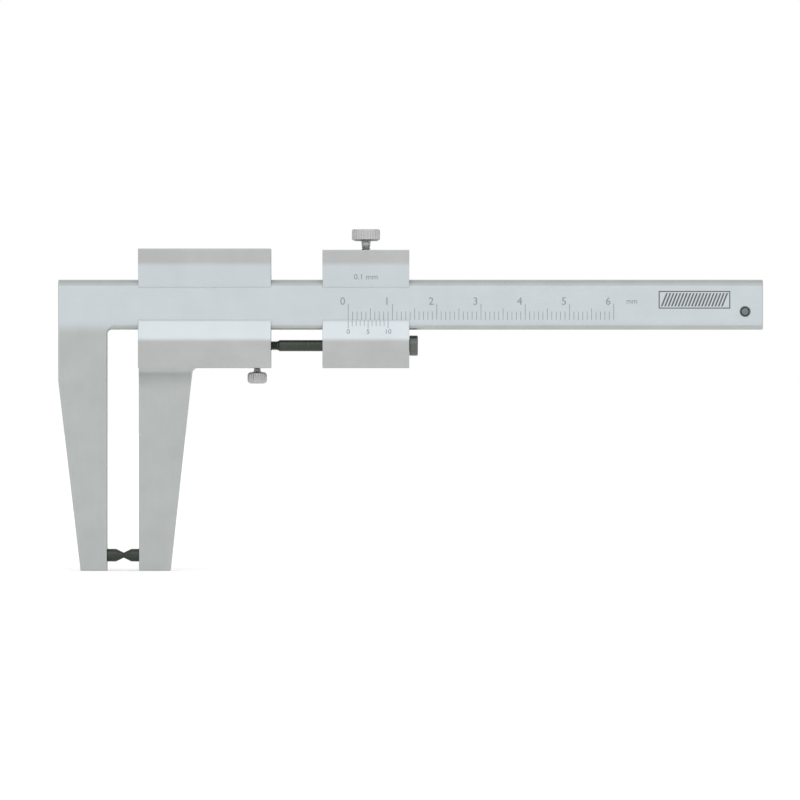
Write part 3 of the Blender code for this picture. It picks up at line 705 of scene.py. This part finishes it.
def thread(start, end, pitch, depth):
    """The relief of a right-hand thread between two heights, running out at both."""

    def relief(angle, height):
        if not start < height < end:
            return 0.0
        groove = 0.5 - 0.5 * math.cos(math.tau * (height / pitch) - angle)
        return depth * groove * min(1.0, (height - start) / pitch, (end - height) / pitch)

    return relief


def threaded(name, outline, ends, form, matrix, material, steps=ROUND_STEPS, reliefs=()):
    """A turned solid with a thread between two heights. The form is the thread's pitch and depth."""
    pitch, depth = form
    profile = divided(outline, *ends, pitch / RINGS_PER_PITCH)
    return turned(name, profile, matrix, material, steps, [thread(*ends, pitch, depth), *reliefs])


def knurl(start, end, teeth):
    """The relief of straight knurling between two heights."""

    def relief(angle, height):
        if not start < height < end:
            return 0.0
        across = angle * teeth / math.tau
        return KNURL_DEPTH * abs(2 * (across % 1) - 1)

    return relief


def finish_piece(obj, node):
    """Shades the piece smoothly and lets it stand for its CAD node."""
    obj.data.shade_smooth()
    obj.data.set_sharp_from_angle(angle=SMOOTH_BELOW)
    even = obj.modifiers.new("flat_faces_stay_flat", "WEIGHTED_NORMAL")
    even.keep_sharp = True
    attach(obj, frame["nodes"][node]["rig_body"])
    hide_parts(node)
    return obj


# ---- cutters


def hole(name, mouth, bottom, radius, through=False):
    """A cutter for a round hole from mouth to bottom, with a chamfer at the mouth, or at both ends."""
    mouth = Vector(mouth)
    along = Vector(bottom) - mouth
    length = along.length
    wide = radius + 2 * HOLE_CHAMFER
    profile = [(wide, -HOLE_CHAMFER), (radius, HOLE_CHAMFER)]
    if through:
        profile += [(radius, length - HOLE_CHAMFER), (wide, length + HOLE_CHAMFER)]
    else:
        profile += [(radius, length)]
    return turned(name, profile, pointing(along.normalized(), mouth))


def block(shape, centre, size, plane):
    """Adds a box to the bmesh, drawn on the plane."""
    matrix = plane @ Matrix.Translation(centre) @ Matrix.Diagonal((*size, 1))
    bmesh.ops.create_cube(shape, size=1, matrix=matrix)


def slot_cutter(name, centre, size):
    shape = bmesh.new()
    block(shape, centre, size, Matrix.Identity(4))
    return object_from(shape, name)


def add_text(shape, text, height, centre, plane):
    """Adds raised lettering to the bmesh, centred on a point of the plane, as deep as the marks go."""
    curve = bpy.data.curves.new("lettering", "FONT")
    curve.body = text
    curve.size = height / DIGIT_SHARE
    curve.extrude = MARK_DEPTH
    curve.resolution_u = LETTER_STEPS
    curve.align_x = "CENTER"
    drawn = bpy.data.objects.new("lettering", curve)
    bpy.context.scene.collection.objects.link(drawn)
    drawn.matrix_world = plane @ Matrix.Translation((centre[0], centre[1] - height / 2, 0))
    mesh = shown_mesh(drawn)
    mesh.transform(drawn.matrix_world)
    shape.from_mesh(mesh)
    bpy.data.objects.remove(drawn)
    bmesh.ops.remove_doubles(shape, verts=shape.verts, dist=TINY)


def line_mark(shape, x, foot, length, plane):
    """Adds one scale line to the bmesh, from its foot up."""
    block(shape, (x, foot + length / 2, 0), (LINE_WIDTH, length, 2 * MARK_DEPTH), plane)


# ---- beam with the fixed jaw


def beam_outline():
    fillet_centre = (FIXED_JAW_INNER_X + THROAT_FILLET, BEAM_BOTTOM_Z - THROAT_FILLET)
    return [
        (BEAM.left, BEAM.top),
        (BEAM.left, FIXED_JAW_TAPER_TOP_Z),
        (-FIXED_JAW_END_HALF_WIDTH, BEAM.bottom),
        (FIXED_JAW_INNER_X, BEAM.bottom),
        *arc(fillet_centre, THROAT_FILLET, 180, 90),
        (BEAM.right, BEAM_BOTTOM_Z),
        (BEAM.right, BEAM.top),
    ]


def beam_edge_width(edge):
    """The beam's long edges are well rounded, and that rounding thins out round the throat fillet."""
    first, second = (vertex.co for vertex in edge.verts)
    place = middle(first, second)
    level = abs(first.z - second.z) < TINY
    if abs(first.y - second.y) > TINY:
        return 0.0
    if level and place.z > BEAM.top - TINY:
        return BEAM_TOP_ROUNDING
    if level and place.z > BEAM_BOTTOM_Z - TINY:
        return BEAM_BOTTOM_ROUNDING
    along_fillet = (place.x - FIXED_JAW_INNER_X) / THROAT_FILLET
    if -TINY / THROAT_FILLET < along_fillet < 1:
        return JAW_EDGE_BREAK + (BEAM_BOTTOM_ROUNDING - JAW_EDGE_BREAK) * max(along_fillet, 0.0)
    return 0.0


def scale_marks():
    """The cutter for the beam's lines and digits."""
    shape = bmesh.new()
    face = Matrix.Translation((0, BEAM.front, 0)) @ FRONT_PLANE
    foot = WINDOW_BOTTOM_Z
    for millimetre in range(SCALE_CENTIMETRES * 10 + 1):
        length = MILLIMETRE_LINE
        if millimetre % 5 == 0:
            length = HALF_CENTIMETRE_LINE
        if millimetre % 10 == 0:
            length = CENTIMETRE_LINE
        line_mark(shape, ZERO_LINE_X + millimetre * MM, foot, length, face)
    for centimetre in range(SCALE_CENTIMETRES + 1):
        x = ZERO_LINE_X + centimetre * 10 * MM - SCALE_DIGIT_SHIFT
        add_text(shape, str(centimetre), SCALE_DIGIT_HEIGHT, (x, foot + SCALE_DIGIT_RISE), face)
    unit_x = ZERO_LINE_X + SCALE_CENTIMETRES * 10 * MM + SCALE_UNIT_SHIFT
    add_text(shape, "mm", SCALE_UNIT_HEIGHT, (unit_x, foot + SCALE_DIGIT_RISE), face)
    return object_from(shape, "scale_marks", PAINT)


def name_field_plane():
    right_inset, top_inset = NAME_FIELD_MIDDLE
    return Matrix.Translation((BEAM.right - right_inset, BEAM.front, BEAM.top - top_inset)) @ FRONT_PLANE


def name_field_frame():
    """The cutter for the fine line round the plain field near the beam's right end."""
    width, height = NAME_FIELD_SIZE
    frames = []
    for inset, depth in ((0, MARK_DEPTH), (NAME_FIELD_LINE, 2 * MARK_DEPTH)):
        shape = bmesh.new()
        size = (width - 2 * inset, height - 2 * inset, 2 * depth)
        block(shape, (0, 0, 0), size, name_field_plane())
        frames.append(object_from(shape, "name_field_frame", FIELD_PAINT))
    outer, inner = frames
    cut(outer, inner)
    return outer


def name_field_hatching():
    """The cutter for the slanted lines that fill the plain field."""
    width, height = NAME_FIELD_SIZE
    half_lean = NAME_FIELD_HATCH_LEAN / 2
    half_line = NAME_FIELD_HATCH_WIDTH / 2
    half_height = height / 2 - 2 * NAME_FIELD_LINE
    half_run = width / 2 - 2 * NAME_FIELD_LINE - half_lean - half_line
    shape = bmesh.new()
    for hatch in range(NAME_FIELD_HATCHES):
        x = half_run * (2 * hatch / (NAME_FIELD_HATCHES - 1) - 1)
        outline = [
            (x - half_lean - half_line, -half_height),
            (x - half_lean + half_line, -half_height),
            (x + half_lean + half_line, half_height),
            (x + half_lean - half_line, half_height),
        ]
        add_slab(shape, outline, MARK_DEPTH, name_field_plane())
    return object_from(shape, "name_field_hatching", FIELD_PAINT)


def make_beam():
    shape = bmesh.new()
    add_slab(shape, beam_outline(), BEAM.back, FRONT_PLANE)
    weight_edges(shape, beam_edge_width, BEAM_TOP_ROUNDING)
    beam = object_from(shape, "beam_with_fixed_jaw", BEAM_METAL)
    round_edges(beam, BEAM_TOP_ROUNDING, LONG_EDGE_SEGMENTS, "WEIGHT")
    round_edges(beam, JAW_EDGE_BREAK)
    cut(beam, scale_marks())
    cut(beam, name_field_frame())
    cut(beam, name_field_hatching())
    tip = sides("fixed_tip")
    tip_mouth = (FIXED_JAW_INNER_X, 0, tip.mid_z)
    tip_bottom = (tip.left - HOLE_GAP, 0, tip.mid_z)
    cut(beam, hole("tip_hole", tip_mouth, tip_bottom, TIP_SHANK_RADIUS + HOLE_GAP))
    stop = sides("stop_screw")
    slope = (STOP_COUNTERSINK_RADIUS - SCREW_RADIUS) / STOP_COUNTERSINK_DEPTH
    radius = SCREW_RADIUS + HOLE_GAP
    profile = [
        (STOP_COUNTERSINK_RADIUS + slope * STOP_COUNTERSINK_DEPTH, -STOP_COUNTERSINK_DEPTH),
        (radius, STOP_COUNTERSINK_DEPTH),
        (radius, BEAM.back - BEAM.front + STOP_COUNTERSINK_DEPTH),
    ]
    front = pointing((0, 1, 0), (stop.mid_x, BEAM.front, stop.mid_z))
    cut(beam, turned("stop_screw_hole", profile, front))
    return finish_piece(beam, "beam")


def make_stop_screw():
    box = sides("stop_screw")
    length = box.back - box.front
    head = length - STOP_HEAD_HEIGHT
    head_radius = (box.right - box.left) / 2
    chamfer = STOP_COUNTERSINK_DEPTH
    outline = [
        (SCREW_RADIUS - chamfer, 0),
        (SCREW_RADIUS, chamfer),
        (SCREW_RADIUS, head),
        (head_radius, head),
        (head_radius, length - chamfer),
        (head_radius - chamfer, length),
    ]
    matrix = pointing((0, 1, 0), (box.mid_x, box.front, box.mid_z))
    screw = threaded("stop_screw_cut", outline, (chamfer, head), M2_THREAD, matrix, STOP_METAL)
    width, slot_depth = STOP_SLOT
    slot_size = (3 * head_radius, 2 * slot_depth, width)
    cut(screw, slot_cutter("stop_screw_slot", (box.mid_x, box.back, box.mid_z), slot_size))
    return finish_piece(screw, "stop_screw")


def make_tip(node, name, pointing_x):
    """A pointed measuring tip: shank in the jaw, collar against it, cone to a small flat."""
    box = sides(node)
    length = box.right - box.left
    radius = (box.top - box.bottom) / 2
    start = box.left if pointing_x > 0 else box.right
    outline = [
        (TIP_SHANK_RADIUS - HOLE_CHAMFER, 0),
        (TIP_SHANK_RADIUS, HOLE_CHAMFER),
        (TIP_SHANK_RADIUS, TIP_SHANK_LENGTH),
        (radius, TIP_SHANK_LENGTH),
        (radius, length - TIP_CONE_LENGTH),
        (TIP_FLAT_RADIUS, length),
    ]
    profile = softened(outline, TIP_SOFTNESS)
    matrix = pointing((pointing_x, 0, 0), (start, 0, box.mid_z))
    return finish_piece(turned(name, profile, matrix, BLACK_METAL), node)


# ---- sliders


def slider_section(top_z):
    """The open-fronted channel of a slider, as (y, z) points, each corner with its own softness."""
    face = VERNIER_SLIDER.back
    inside = BEAM.back + SLIDE_GAP
    lip = inside + LIP_EDGE
    slot_bottom_z = BEAM_BOTTOM_Z - SLIDE_GAP
    edge = SLIDER_EDGE_ROUNDING
    corners = [
        ((-face, top_z), edge),
        ((-face, BEAM.top + UPPER_BEVEL_RISE), UPPER_BEVEL_SOFTNESS),
        ((-lip, WINDOW_TOP_Z), UPPER_LIP_SOFTNESS),
        ((-inside, WINDOW_TOP_Z), 0),
        ((-inside, SLOT_TOP_Z), 0),
        ((inside, SLOT_TOP_Z), 0),
        ((inside, slot_bottom_z), 0),
        ((-inside, slot_bottom_z), 0),
        ((-inside, WINDOW_BOTTOM_Z), 0),
        ((-lip, WINDOW_BOTTOM_Z), LOWER_LIP_SOFTNESS),
        ((-face, BEAM_BOTTOM_Z - LOWER_BEVEL_DROP), LOWER_BEVEL_SOFTNESS),
        ((-face, SLIDER_BOTTOM_Z), edge),
        ((face, SLIDER_BOTTOM_Z), edge),
        ((face, top_z), edge),
    ]
    points = []
    for index, (here, radius) in enumerate(corners):
        before = corners[index - 1][0]
        after = corners[(index + 1) % len(corners)][0]
        points += corner(before, here, after, radius)
    return points


def slider_edge_width(edge):
    """The edges round a slider's ends are broken, except in the slot and at the lips' thin edges."""
    first, second = (vertex.co for vertex in edge.verts)
    place = middle(first, second)
    thin_lip = BEAM.back + SLIDE_GAP + LIP_EDGE + SLIDER_END_BREAK
    in_slot = abs(place.y) < thin_lip and BEAM_BOTTOM_Z - MM < place.z < SLOT_TOP_Z + MM
    if abs(first.x - second.x) > TINY or in_slot:
        return 0.0
    return SLIDER_END_BREAK


def slider_blank(name, box):
    """The slider's channel with its end edges rounded."""
    plane = Matrix.Translation((box.mid_x, 0, 0)) @ SECTION_PLANE
    shape = bmesh.new()
    add_slab(shape, slider_section(box.top), (box.right - box.left) / 2, plane)
    weight_edges(shape, slider_edge_width, SLIDER_END_BREAK)
    blank = object_from(shape, name, SLIDER_METAL)
    round_edges(blank, SLIDER_END_BREAK, limit="WEIGHT")
    return blank


def hole_from_top(slider, name, x, top_z):
    """Cuts a screw's hole from a slider's top down into its slot."""
    bottom = (x, 0, SLOT_TOP_Z - SLIDE_GAP)
    cut(slider, hole(name, (x, 0, top_z), bottom, SCREW_RADIUS + HOLE_GAP))


def moving_jaw_outline():
    """The jaw seen from the front, run up into the slider, with its fillet under the slider."""
    inner_x = JAW_SLIDER.left + MOVING_JAW_INSET
    end_x = inner_x + MOVING_JAW_END_WIDTH
    root_x = inner_x + MOVING_JAW_ROOT_WIDTH
    lean = math.atan2(root_x - end_x, SLIDER_BOTTOM_Z)
    # The fillet touches the leaning outer edge and ends level, just inside the slider's underside.
    reach = MOVING_JAW_FILLET * math.tan(math.pi / 4 + lean / 2)
    centre = (root_x + reach, SLIDER_BOTTOM_Z + JOIN_TUCK - MOVING_JAW_FILLET)
    root_z = SLIDER_BOTTOM_Z + JAW_ROOT_DEPTH
    return [
        (inner_x, JAW_SLIDER.bottom),
        (end_x, JAW_SLIDER.bottom),
        *arc(centre, MOVING_JAW_FILLET, 180 - math.degrees(lean), 90),
        (centre[0], root_z),
        (inner_x, root_z),
    ]


def moving_jaw_side():
    """The jaw seen from its end: a rounded shoulder, then a long hollow down to the jaw's thickness."""
    face = VERNIER_SLIDER.back - JOIN_TUCK
    angle = math.radians(SHOULDER_ANGLE)
    shoulder_radius = (SHOULDER_DROP + SLIDER_EDGE_ROUNDING) / math.sin(angle)
    shoulder_depth = shoulder_radius * (1 - math.cos(angle))
    hollow_depth = face - shoulder_depth - BEAM.back
    hollow_angle = math.acos(1 - hollow_depth / RUNOUT_RADIUS)
    edge_z = SLIDER_BOTTOM_Z - SHOULDER_DROP
    hollow_centre = (BEAM.back + RUNOUT_RADIUS, edge_z - RUNOUT_RADIUS * math.sin(hollow_angle))
    shoulder_centre = (face - shoulder_radius, SLIDER_BOTTOM_Z + SLIDER_EDGE_ROUNDING)
    right = [
        (BEAM.back, -JAW_ROOT_DEPTH),
        *arc(hollow_centre, RUNOUT_RADIUS, 180, 180 - math.degrees(hollow_angle)),
        *arc(shoulder_centre, shoulder_radius, -SHOULDER_ANGLE, 0),
        (BEAM.back, SLIDER_BOTTOM_Z + 2 * JAW_ROOT_DEPTH),
    ]
    left = [(-y, z) for y, z in reversed(right)]
    return right + left


def jaw_edge_width(edge):
    """The jaw's edges are broken up to its fillet, or on its inner side up to the slider."""
    place = middle(edge.verts[0].co, edge.verts[1].co)
    on_inner_side = place.x < JAW_SLIDER.left + MOVING_JAW_INSET + JOIN_TUCK
    end_z = SLIDER_BOTTOM_Z - (SLIDER_EDGE_ROUNDING if on_inner_side else MOVING_JAW_FILLET)
    sharp = edge.calc_face_angle() > SMOOTH_BELOW
    return JAW_EDGE_BREAK if sharp and place.z < end_z else 0.0


def make_moving_jaw():
    """The jaw alone, its edges broken, ready to be joined to the slider."""
    jaw = slab("moving_jaw", moving_jaw_outline(), 2 * VERNIER_SLIDER.back, FRONT_PLANE, JAW_METAL)
    side = slab("moving_jaw_side", moving_jaw_side(), JAW_SLIDER.right, SECTION_PLANE)
    combine(jaw, side, "INTERSECT")
    shape = bmesh.new()
    shape.from_mesh(jaw.data)
    weight_edges(shape, jaw_edge_width, JAW_EDGE_BREAK)
    shape.to_mesh(jaw.data)
    shape.free()
    round_edges(jaw, JAW_EDGE_BREAK, limit="WEIGHT")
    return jaw


def make_jaw_slider():
    slider = slider_blank("jaw_slider_with_moving_jaw", JAW_SLIDER)
    combine(slider, make_moving_jaw(), "UNION")
    tip = sides("moving_tip")
    tip_mouth = (JAW_SLIDER.left + MOVING_JAW_INSET, 0, tip.mid_z)
    tip_bottom = (tip.right + HOLE_GAP, 0, tip.mid_z)
    cut(slider, hole("tip_hole", tip_mouth, tip_bottom, TIP_SHANK_RADIUS + HOLE_GAP))
    for node in JAW_SET_SCREWS:
        hole_from_top(slider, f"{node}_hole", sides(node).mid_x, JAW_SLIDER.top)
    rod = sides("stop_rod")
    socket_mouth = (JAW_SLIDER.right, 0, rod.mid_z)
    socket_bottom = (rod.left - HOLE_GAP, 0, rod.mid_z)
    cut(slider, hole("rod_socket", socket_mouth, socket_bottom, ROD_NECK_RADIUS + HOLE_GAP))
    lock_x = sides("lock_pad").mid_x
    lock_mouth = (lock_x, 0, SLIDER_BOTTOM_Z)
    lock_bottom = (lock_x, 0, rod.mid_z)
    cut(slider, hole("lock_screw_hole", lock_mouth, lock_bottom, LOCK_SCREW_RADIUS + HOLE_GAP))
    return finish_piece(slider, "jaw_slider")


def bevel_plane(lip_z, outer_z):
    """A slider's slanted face as a plane to draw on, with its origin on the lip.

    Local x runs along the beam, local y up the slope and local z out of the face.
    """
    lip = Vector((0, -(BEAM.back + SLIDE_GAP + LIP_EDGE), lip_z))
    outer = Vector((0, VERNIER_SLIDER.front, outer_z))
    slope = outer - lip if outer_z > lip_z else lip - outer
    along = Vector((1, 0, 0))
    up = slope.normalized()
    return Matrix.Translation(lip) @ Matrix((along, up, along.cross(up))).transposed().to_4x4()


def vernier_marks():
    """The cutter for the vernier's lines and digits and the unit above the window."""
    shape = bmesh.new()
    lower_bevel = bevel_plane(WINDOW_BOTTOM_Z, BEAM_BOTTOM_Z - LOWER_BEVEL_DROP)
    upper_bevel = bevel_plane(WINDOW_TOP_Z, BEAM.top + UPPER_BEVEL_RISE)
    for line in range(VERNIER_LINES + 1):
        length = VERNIER_LONG_LINE if line % 5 == 0 else VERNIER_LINE
        line_mark(shape, ZERO_LINE_X + line * VERNIER_PITCH, -length, length + MARK_DEPTH, lower_bevel)
    for line in range(0, VERNIER_LINES + 1, 5):
        x = ZERO_LINE_X + line * VERNIER_PITCH
        add_text(shape, str(line), VERNIER_DIGIT_HEIGHT, (x, -VERNIER_DIGIT_DROP), lower_bevel)
    add_text(shape, "0.1 mm", UNIT_TEXT_HEIGHT, (VERNIER_SLIDER.mid_x, UNIT_TEXT_RISE), upper_bevel)
    return object_from(shape, "vernier_marks", PAINT)


def make_vernier_slider():
    slider = slider_blank("vernier_slider_body", VERNIER_SLIDER)
    cut(slider, vernier_marks())
    for node in VERNIER_SET_SCREWS:
        hole_from_top(slider, f"{node}_hole", sides(node).mid_x, VERNIER_SLIDER.top)
    hole_from_top(slider, "clamp_hole", sides("clamp_pad").mid_x, VERNIER_SLIDER.top)
    rod = sides("stop_rod")
    radius = (rod.top - rod.bottom) / 2 + HOLE_GAP
    left = (VERNIER_SLIDER.left, 0, rod.mid_z)
    right = (VERNIER_SLIDER.right, 0, rod.mid_z)
    cut(slider, hole("rod_bore", left, right, radius, through=True))
    return finish_piece(slider, "vernier_slider")


def make_gib(node, screws):
    """The bronze strip over the beam's top edge, pierced for the set screws' points."""
    box = sides(node)
    reach = (box.right - box.left) / 2
    outline = [(-reach, box.bottom), (reach, box.bottom), (reach, box.top), (-reach, box.top)]
    plane = Matrix.Translation((box.mid_x, 0, 0)) @ FRONT_PLANE
    gib = slab(f"{node}_strip", outline, box.back, plane, BRONZE_STRIP)
    round_edges(gib, GIB_EDGE_BREAK)
    for screw in screws:
        radius = SET_SCREW_POINT_RADIUS + HOLE_GAP
        profile = [(radius, box.bottom - MM), (radius, box.top + MM)]
        cut(gib, turned(f"{screw}_seat", profile, Matrix.Translation((sides(screw).mid_x, 0, 0))))
    return finish_piece(gib, node)


def make_set_screw(node):
    """A slotted grub screw with a dog point."""
    box = sides(node)
    length = box.top - box.bottom
    outline = [
        (SET_SCREW_POINT_RADIUS - SET_SCREW_POINT_CHAMFER, 0),
        (SET_SCREW_POINT_RADIUS, SET_SCREW_POINT_CHAMFER),
        (SET_SCREW_POINT_RADIUS, SET_SCREW_POINT_LENGTH),
        (SCREW_RADIUS - HOLE_CHAMFER, SET_SCREW_POINT_LENGTH),
        (SCREW_RADIUS, SET_SCREW_POINT_LENGTH + HOLE_CHAMFER),
        (SCREW_RADIUS, length - HOLE_CHAMFER),
        (SCREW_RADIUS - HOLE_CHAMFER, length),
    ]
    thread_ends = (SET_SCREW_POINT_LENGTH + HOLE_CHAMFER, length - HOLE_CHAMFER)
    at = Matrix.Translation((box.mid_x, 0, box.bottom))
    screw = threaded(f"{node}_cut", outline, thread_ends, M2_THREAD, at, SCREW_METAL)
    width, slot_depth = SET_SCREW_SLOT
    slot_size = (3 * SCREW_RADIUS, width, 2 * slot_depth)
    cut(screw, slot_cutter(f"{node}_slot", (box.mid_x, 0, box.top), slot_size))
    return finish_piece(screw, node)


# ---- rod, collar, pads and thumb screws


def make_stop_rod():
    box = sides("stop_rod")
    collar = sides("stop_collar")
    neck = ROD_NECK_HELD + ROD_NECK_EXPOSED
    body = collar.left - box.left
    length = box.right - box.left
    radius = (box.top - box.bottom) / 2
    outline = [
        (ROD_NECK_RADIUS - ROD_END_CHAMFER, 0),
        (ROD_NECK_RADIUS, ROD_END_CHAMFER),
        (ROD_NECK_RADIUS, neck),
        (radius, neck + ROD_STEP),
        (radius, body),
        (SPIGOT_RADIUS, body),
        (SPIGOT_RADIUS, length - SPIGOT_CHAMFER),
        (SPIGOT_RADIUS - SPIGOT_CHAMFER, length),
    ]
    matrix = pointing((1, 0, 0), (box.left, 0, box.mid_z))
    rod = threaded("stop_rod_turned", outline, (ROD_END_CHAMFER, neck), NECK_THREAD, matrix, BLACK_METAL)
    return finish_piece(rod, "stop_rod")


def make_stop_collar():
    box = sides("stop_collar")
    length = box.right - box.left
    radius = (box.top - box.bottom) / 2
    bore = SPIGOT_RADIUS + HOLE_GAP
    edge = COLLAR_CHAMFER
    profile = [
        (bore, edge),
        (bore + edge, 0),
        *chamfered(radius, length, edge),
        (bore + edge, length),
        (bore, length - edge),
    ]
    matrix = pointing((1, 0, 0), (box.left, 0, box.mid_z))
    collar = turned("stop_collar_turned", profile, matrix, COLLAR_METAL, bored=True)
    return finish_piece(collar, "stop_collar")


def make_pad(node):
    box = sides(node)
    radius = (box.right - box.left) / 2
    length = box.top - box.bottom
    at = Matrix.Translation((box.mid_x, 0, box.bottom))
    pad = turned(f"{node}_turned", chamfered(radius, length, PAD_CHAMFER), at, BRONZE_ROD)
    return finish_piece(pad, node)


def make_clamp_screw():
    """The upper thumb screw. Its local origin is under its head, with the thread below."""
    box = sides("clamp_screw")
    radius = (box.right - box.left) / 2
    head_z = box.top - CLAMP_HEAD_HEIGHT
    tip = box.bottom - head_z
    across, up = CLAMP_UNDERSIDE_CHAMFER
    edge = CLAMP_TOP_CHAMFER
    outline = [
        (SCREW_RADIUS - HOLE_CHAMFER, tip),
        (SCREW_RADIUS, tip + HOLE_CHAMFER),
        (SCREW_RADIUS, -CLAMP_PLAIN_NECK),
        *arc((SCREW_RADIUS + CLAMP_FLARE, -CLAMP_FLARE), CLAMP_FLARE, 180, 90, steps=6),
        (radius - across, 0),
        (radius, up),
        (radius, CLAMP_HEAD_HEIGHT - edge),
        (radius - edge, CLAMP_HEAD_HEIGHT),
    ]
    at = Matrix.Translation((box.mid_x, 0, head_z))
    relief = knurl(up / 2, CLAMP_HEAD_HEIGHT - edge / 2, CLAMP_KNURL_TEETH)
    ends = (tip, -CLAMP_PLAIN_NECK)
    steps = STEPS_PER_TOOTH * CLAMP_KNURL_TEETH
    screw = threaded("clamp_screw_knurled", outline, ends, M2_THREAD, at, CLAMP_METAL, steps, [relief])
    return finish_piece(screw, "clamp_screw")


def make_lock_screw():
    """The lower thumb screw, drawn head up like the other and turned over."""
    box = sides("lock_screw")
    radius = (box.right - box.left) / 2
    head_z = box.bottom + LOCK_HEAD_HEIGHT
    tip = head_z - box.top
    rounding = LOCK_HEAD_ROUNDING
    corner_x = radius - rounding
    outline = [
        (LOCK_SCREW_RADIUS - HOLE_CHAMFER, tip),
        (LOCK_SCREW_RADIUS, tip + HOLE_CHAMFER),
        *arc((LOCK_SCREW_RADIUS + LOCK_FLARE, -LOCK_FLARE), LOCK_FLARE, 180, 90, steps=4),
        *arc((corner_x, rounding), rounding, -90, 0, steps=5),
        *arc((corner_x, LOCK_HEAD_HEIGHT - rounding), rounding, 0, 90, steps=5),
    ]
    at = pointing((0, 0, -1), (box.mid_x, 0, head_z))
    relief = knurl(rounding / 2, LOCK_HEAD_HEIGHT - rounding / 2, LOCK_KNURL_TEETH)
    ends = (tip, -LOCK_FLARE)
    steps = STEPS_PER_TOOTH * LOCK_KNURL_TEETH
    screw = threaded("lock_screw_knurled", outline, ends, M16_THREAD, at, LOCK_METAL, steps, [relief])
    return finish_piece(screw, "lock_screw")


# ---- stage, light and camera


def make_floor():
    """A plain pale floor, lit a little from below like a light table."""
    shape = bmesh.new()
    bmesh.ops.create_grid(shape, x_segments=1, y_segments=1, size=FLOOR_HALF_SIZE)
    material, tree = new_material("pale_floor")
    matt = add_node(tree, "BsdfDiffuse", {"Color": FLOOR_COLOUR}).outputs[0]
    glow = add_node(tree, "Emission", {"Strength": FLOOR_GLOW}).outputs[0]
    surface = add_node(tree, "AddShader", {0: matt, 1: glow}).outputs[0]
    add_node(tree, "OutputMaterial", {"Surface": surface})
    object_from(shape, "floor", material)


def make_world():
    """A white room: a broad softbox high in front, and greyer walls at the sides and the back."""
    world = bpy.data.worlds.new("white_room")
    bpy.context.scene.world = world
    world.use_nodes = True
    tree = world.node_tree
    tree.nodes.clear()
    direction = add_node(tree, "TexCoord").outputs["Generated"]
    sideways = maths(tree, "ABSOLUTE", axis_of(tree, direction, 0))
    backward = axis_of(tree, direction, 1)
    upward = axis_of(tree, direction, 2)
    softbox_height = product(tree, between(tree, upward, 0.3, 0.5), between(tree, upward, 0.9, 0.75))
    softbox = product(tree, softbox_height, between(tree, backward, 0.1, -0.4, 0.0, SOFTBOX_EXTRA))
    side_wall = between(tree, sideways, 0.55, 0.9, 1.0, SIDE_WALL_SHADE)
    back_wall = between(tree, backward, 0.15, 0.5)
    low = between(tree, upward, 0.8, 0.5)
    back_shade = between(tree, product(tree, back_wall, low), 0.0, 1.0, 1.0, BACK_WALL_SHADE)
    room = product(tree, product(tree, side_wall, back_shade), ROOM_LIGHT)
    strength = maths(tree, "ADD", room, softbox)
    seen = add_node(tree, "LightPath").outputs["Is Camera Ray"]
    shown = maths(tree, "ADD", strength, product(tree, seen, maths(tree, "SUBTRACT", 1.0, strength)))
    light = add_node(tree, "Background", {"Color": (1.0, 1.0, 1.0, 1.0), "Strength": shown})
    add_node(tree, "OutputWorld", {"Surface": light.outputs["Background"]})


def make_camera():
    """A long lens level with the middle of the object, square to the scale."""
    data = bpy.data.cameras.new("camera")
    data.lens = LENS
    data.sensor_width = SENSOR
    data.clip_start = 0.05
    data.clip_end = 50
    camera = bpy.data.objects.new("camera", data)
    bpy.context.scene.collection.objects.link(camera)
    distance = VIEW_WIDTH * LENS / SENSOR
    x = middle(cad_low.x, cad_high.x) + VIEW_SHIFT
    camera.location = (x, BEAM.front - distance, middle(cad_low.z, cad_high.z))
    camera.rotation_euler = (math.radians(90), 0, 0)
    bpy.context.scene.camera = camera


# ---- the object

make_beam()
make_stop_screw()
make_tip("fixed_tip", "fixed_measuring_tip", 1)
make_jaw_slider()
make_tip("moving_tip", "moving_measuring_tip", -1)
make_vernier_slider()
make_gib("jaw_gib", JAW_SET_SCREWS)
make_gib("vernier_gib", VERNIER_SET_SCREWS)
for screw_node in JAW_SET_SCREWS + VERNIER_SET_SCREWS:
    make_set_screw(screw_node)
make_stop_rod()
make_stop_collar()
make_pad("clamp_pad")
make_pad("lock_pad")
make_clamp_screw()
make_lock_screw()

make_floor()
make_world()
make_camera()
bpy.context.scene.view_settings.view_transform = "Standard"
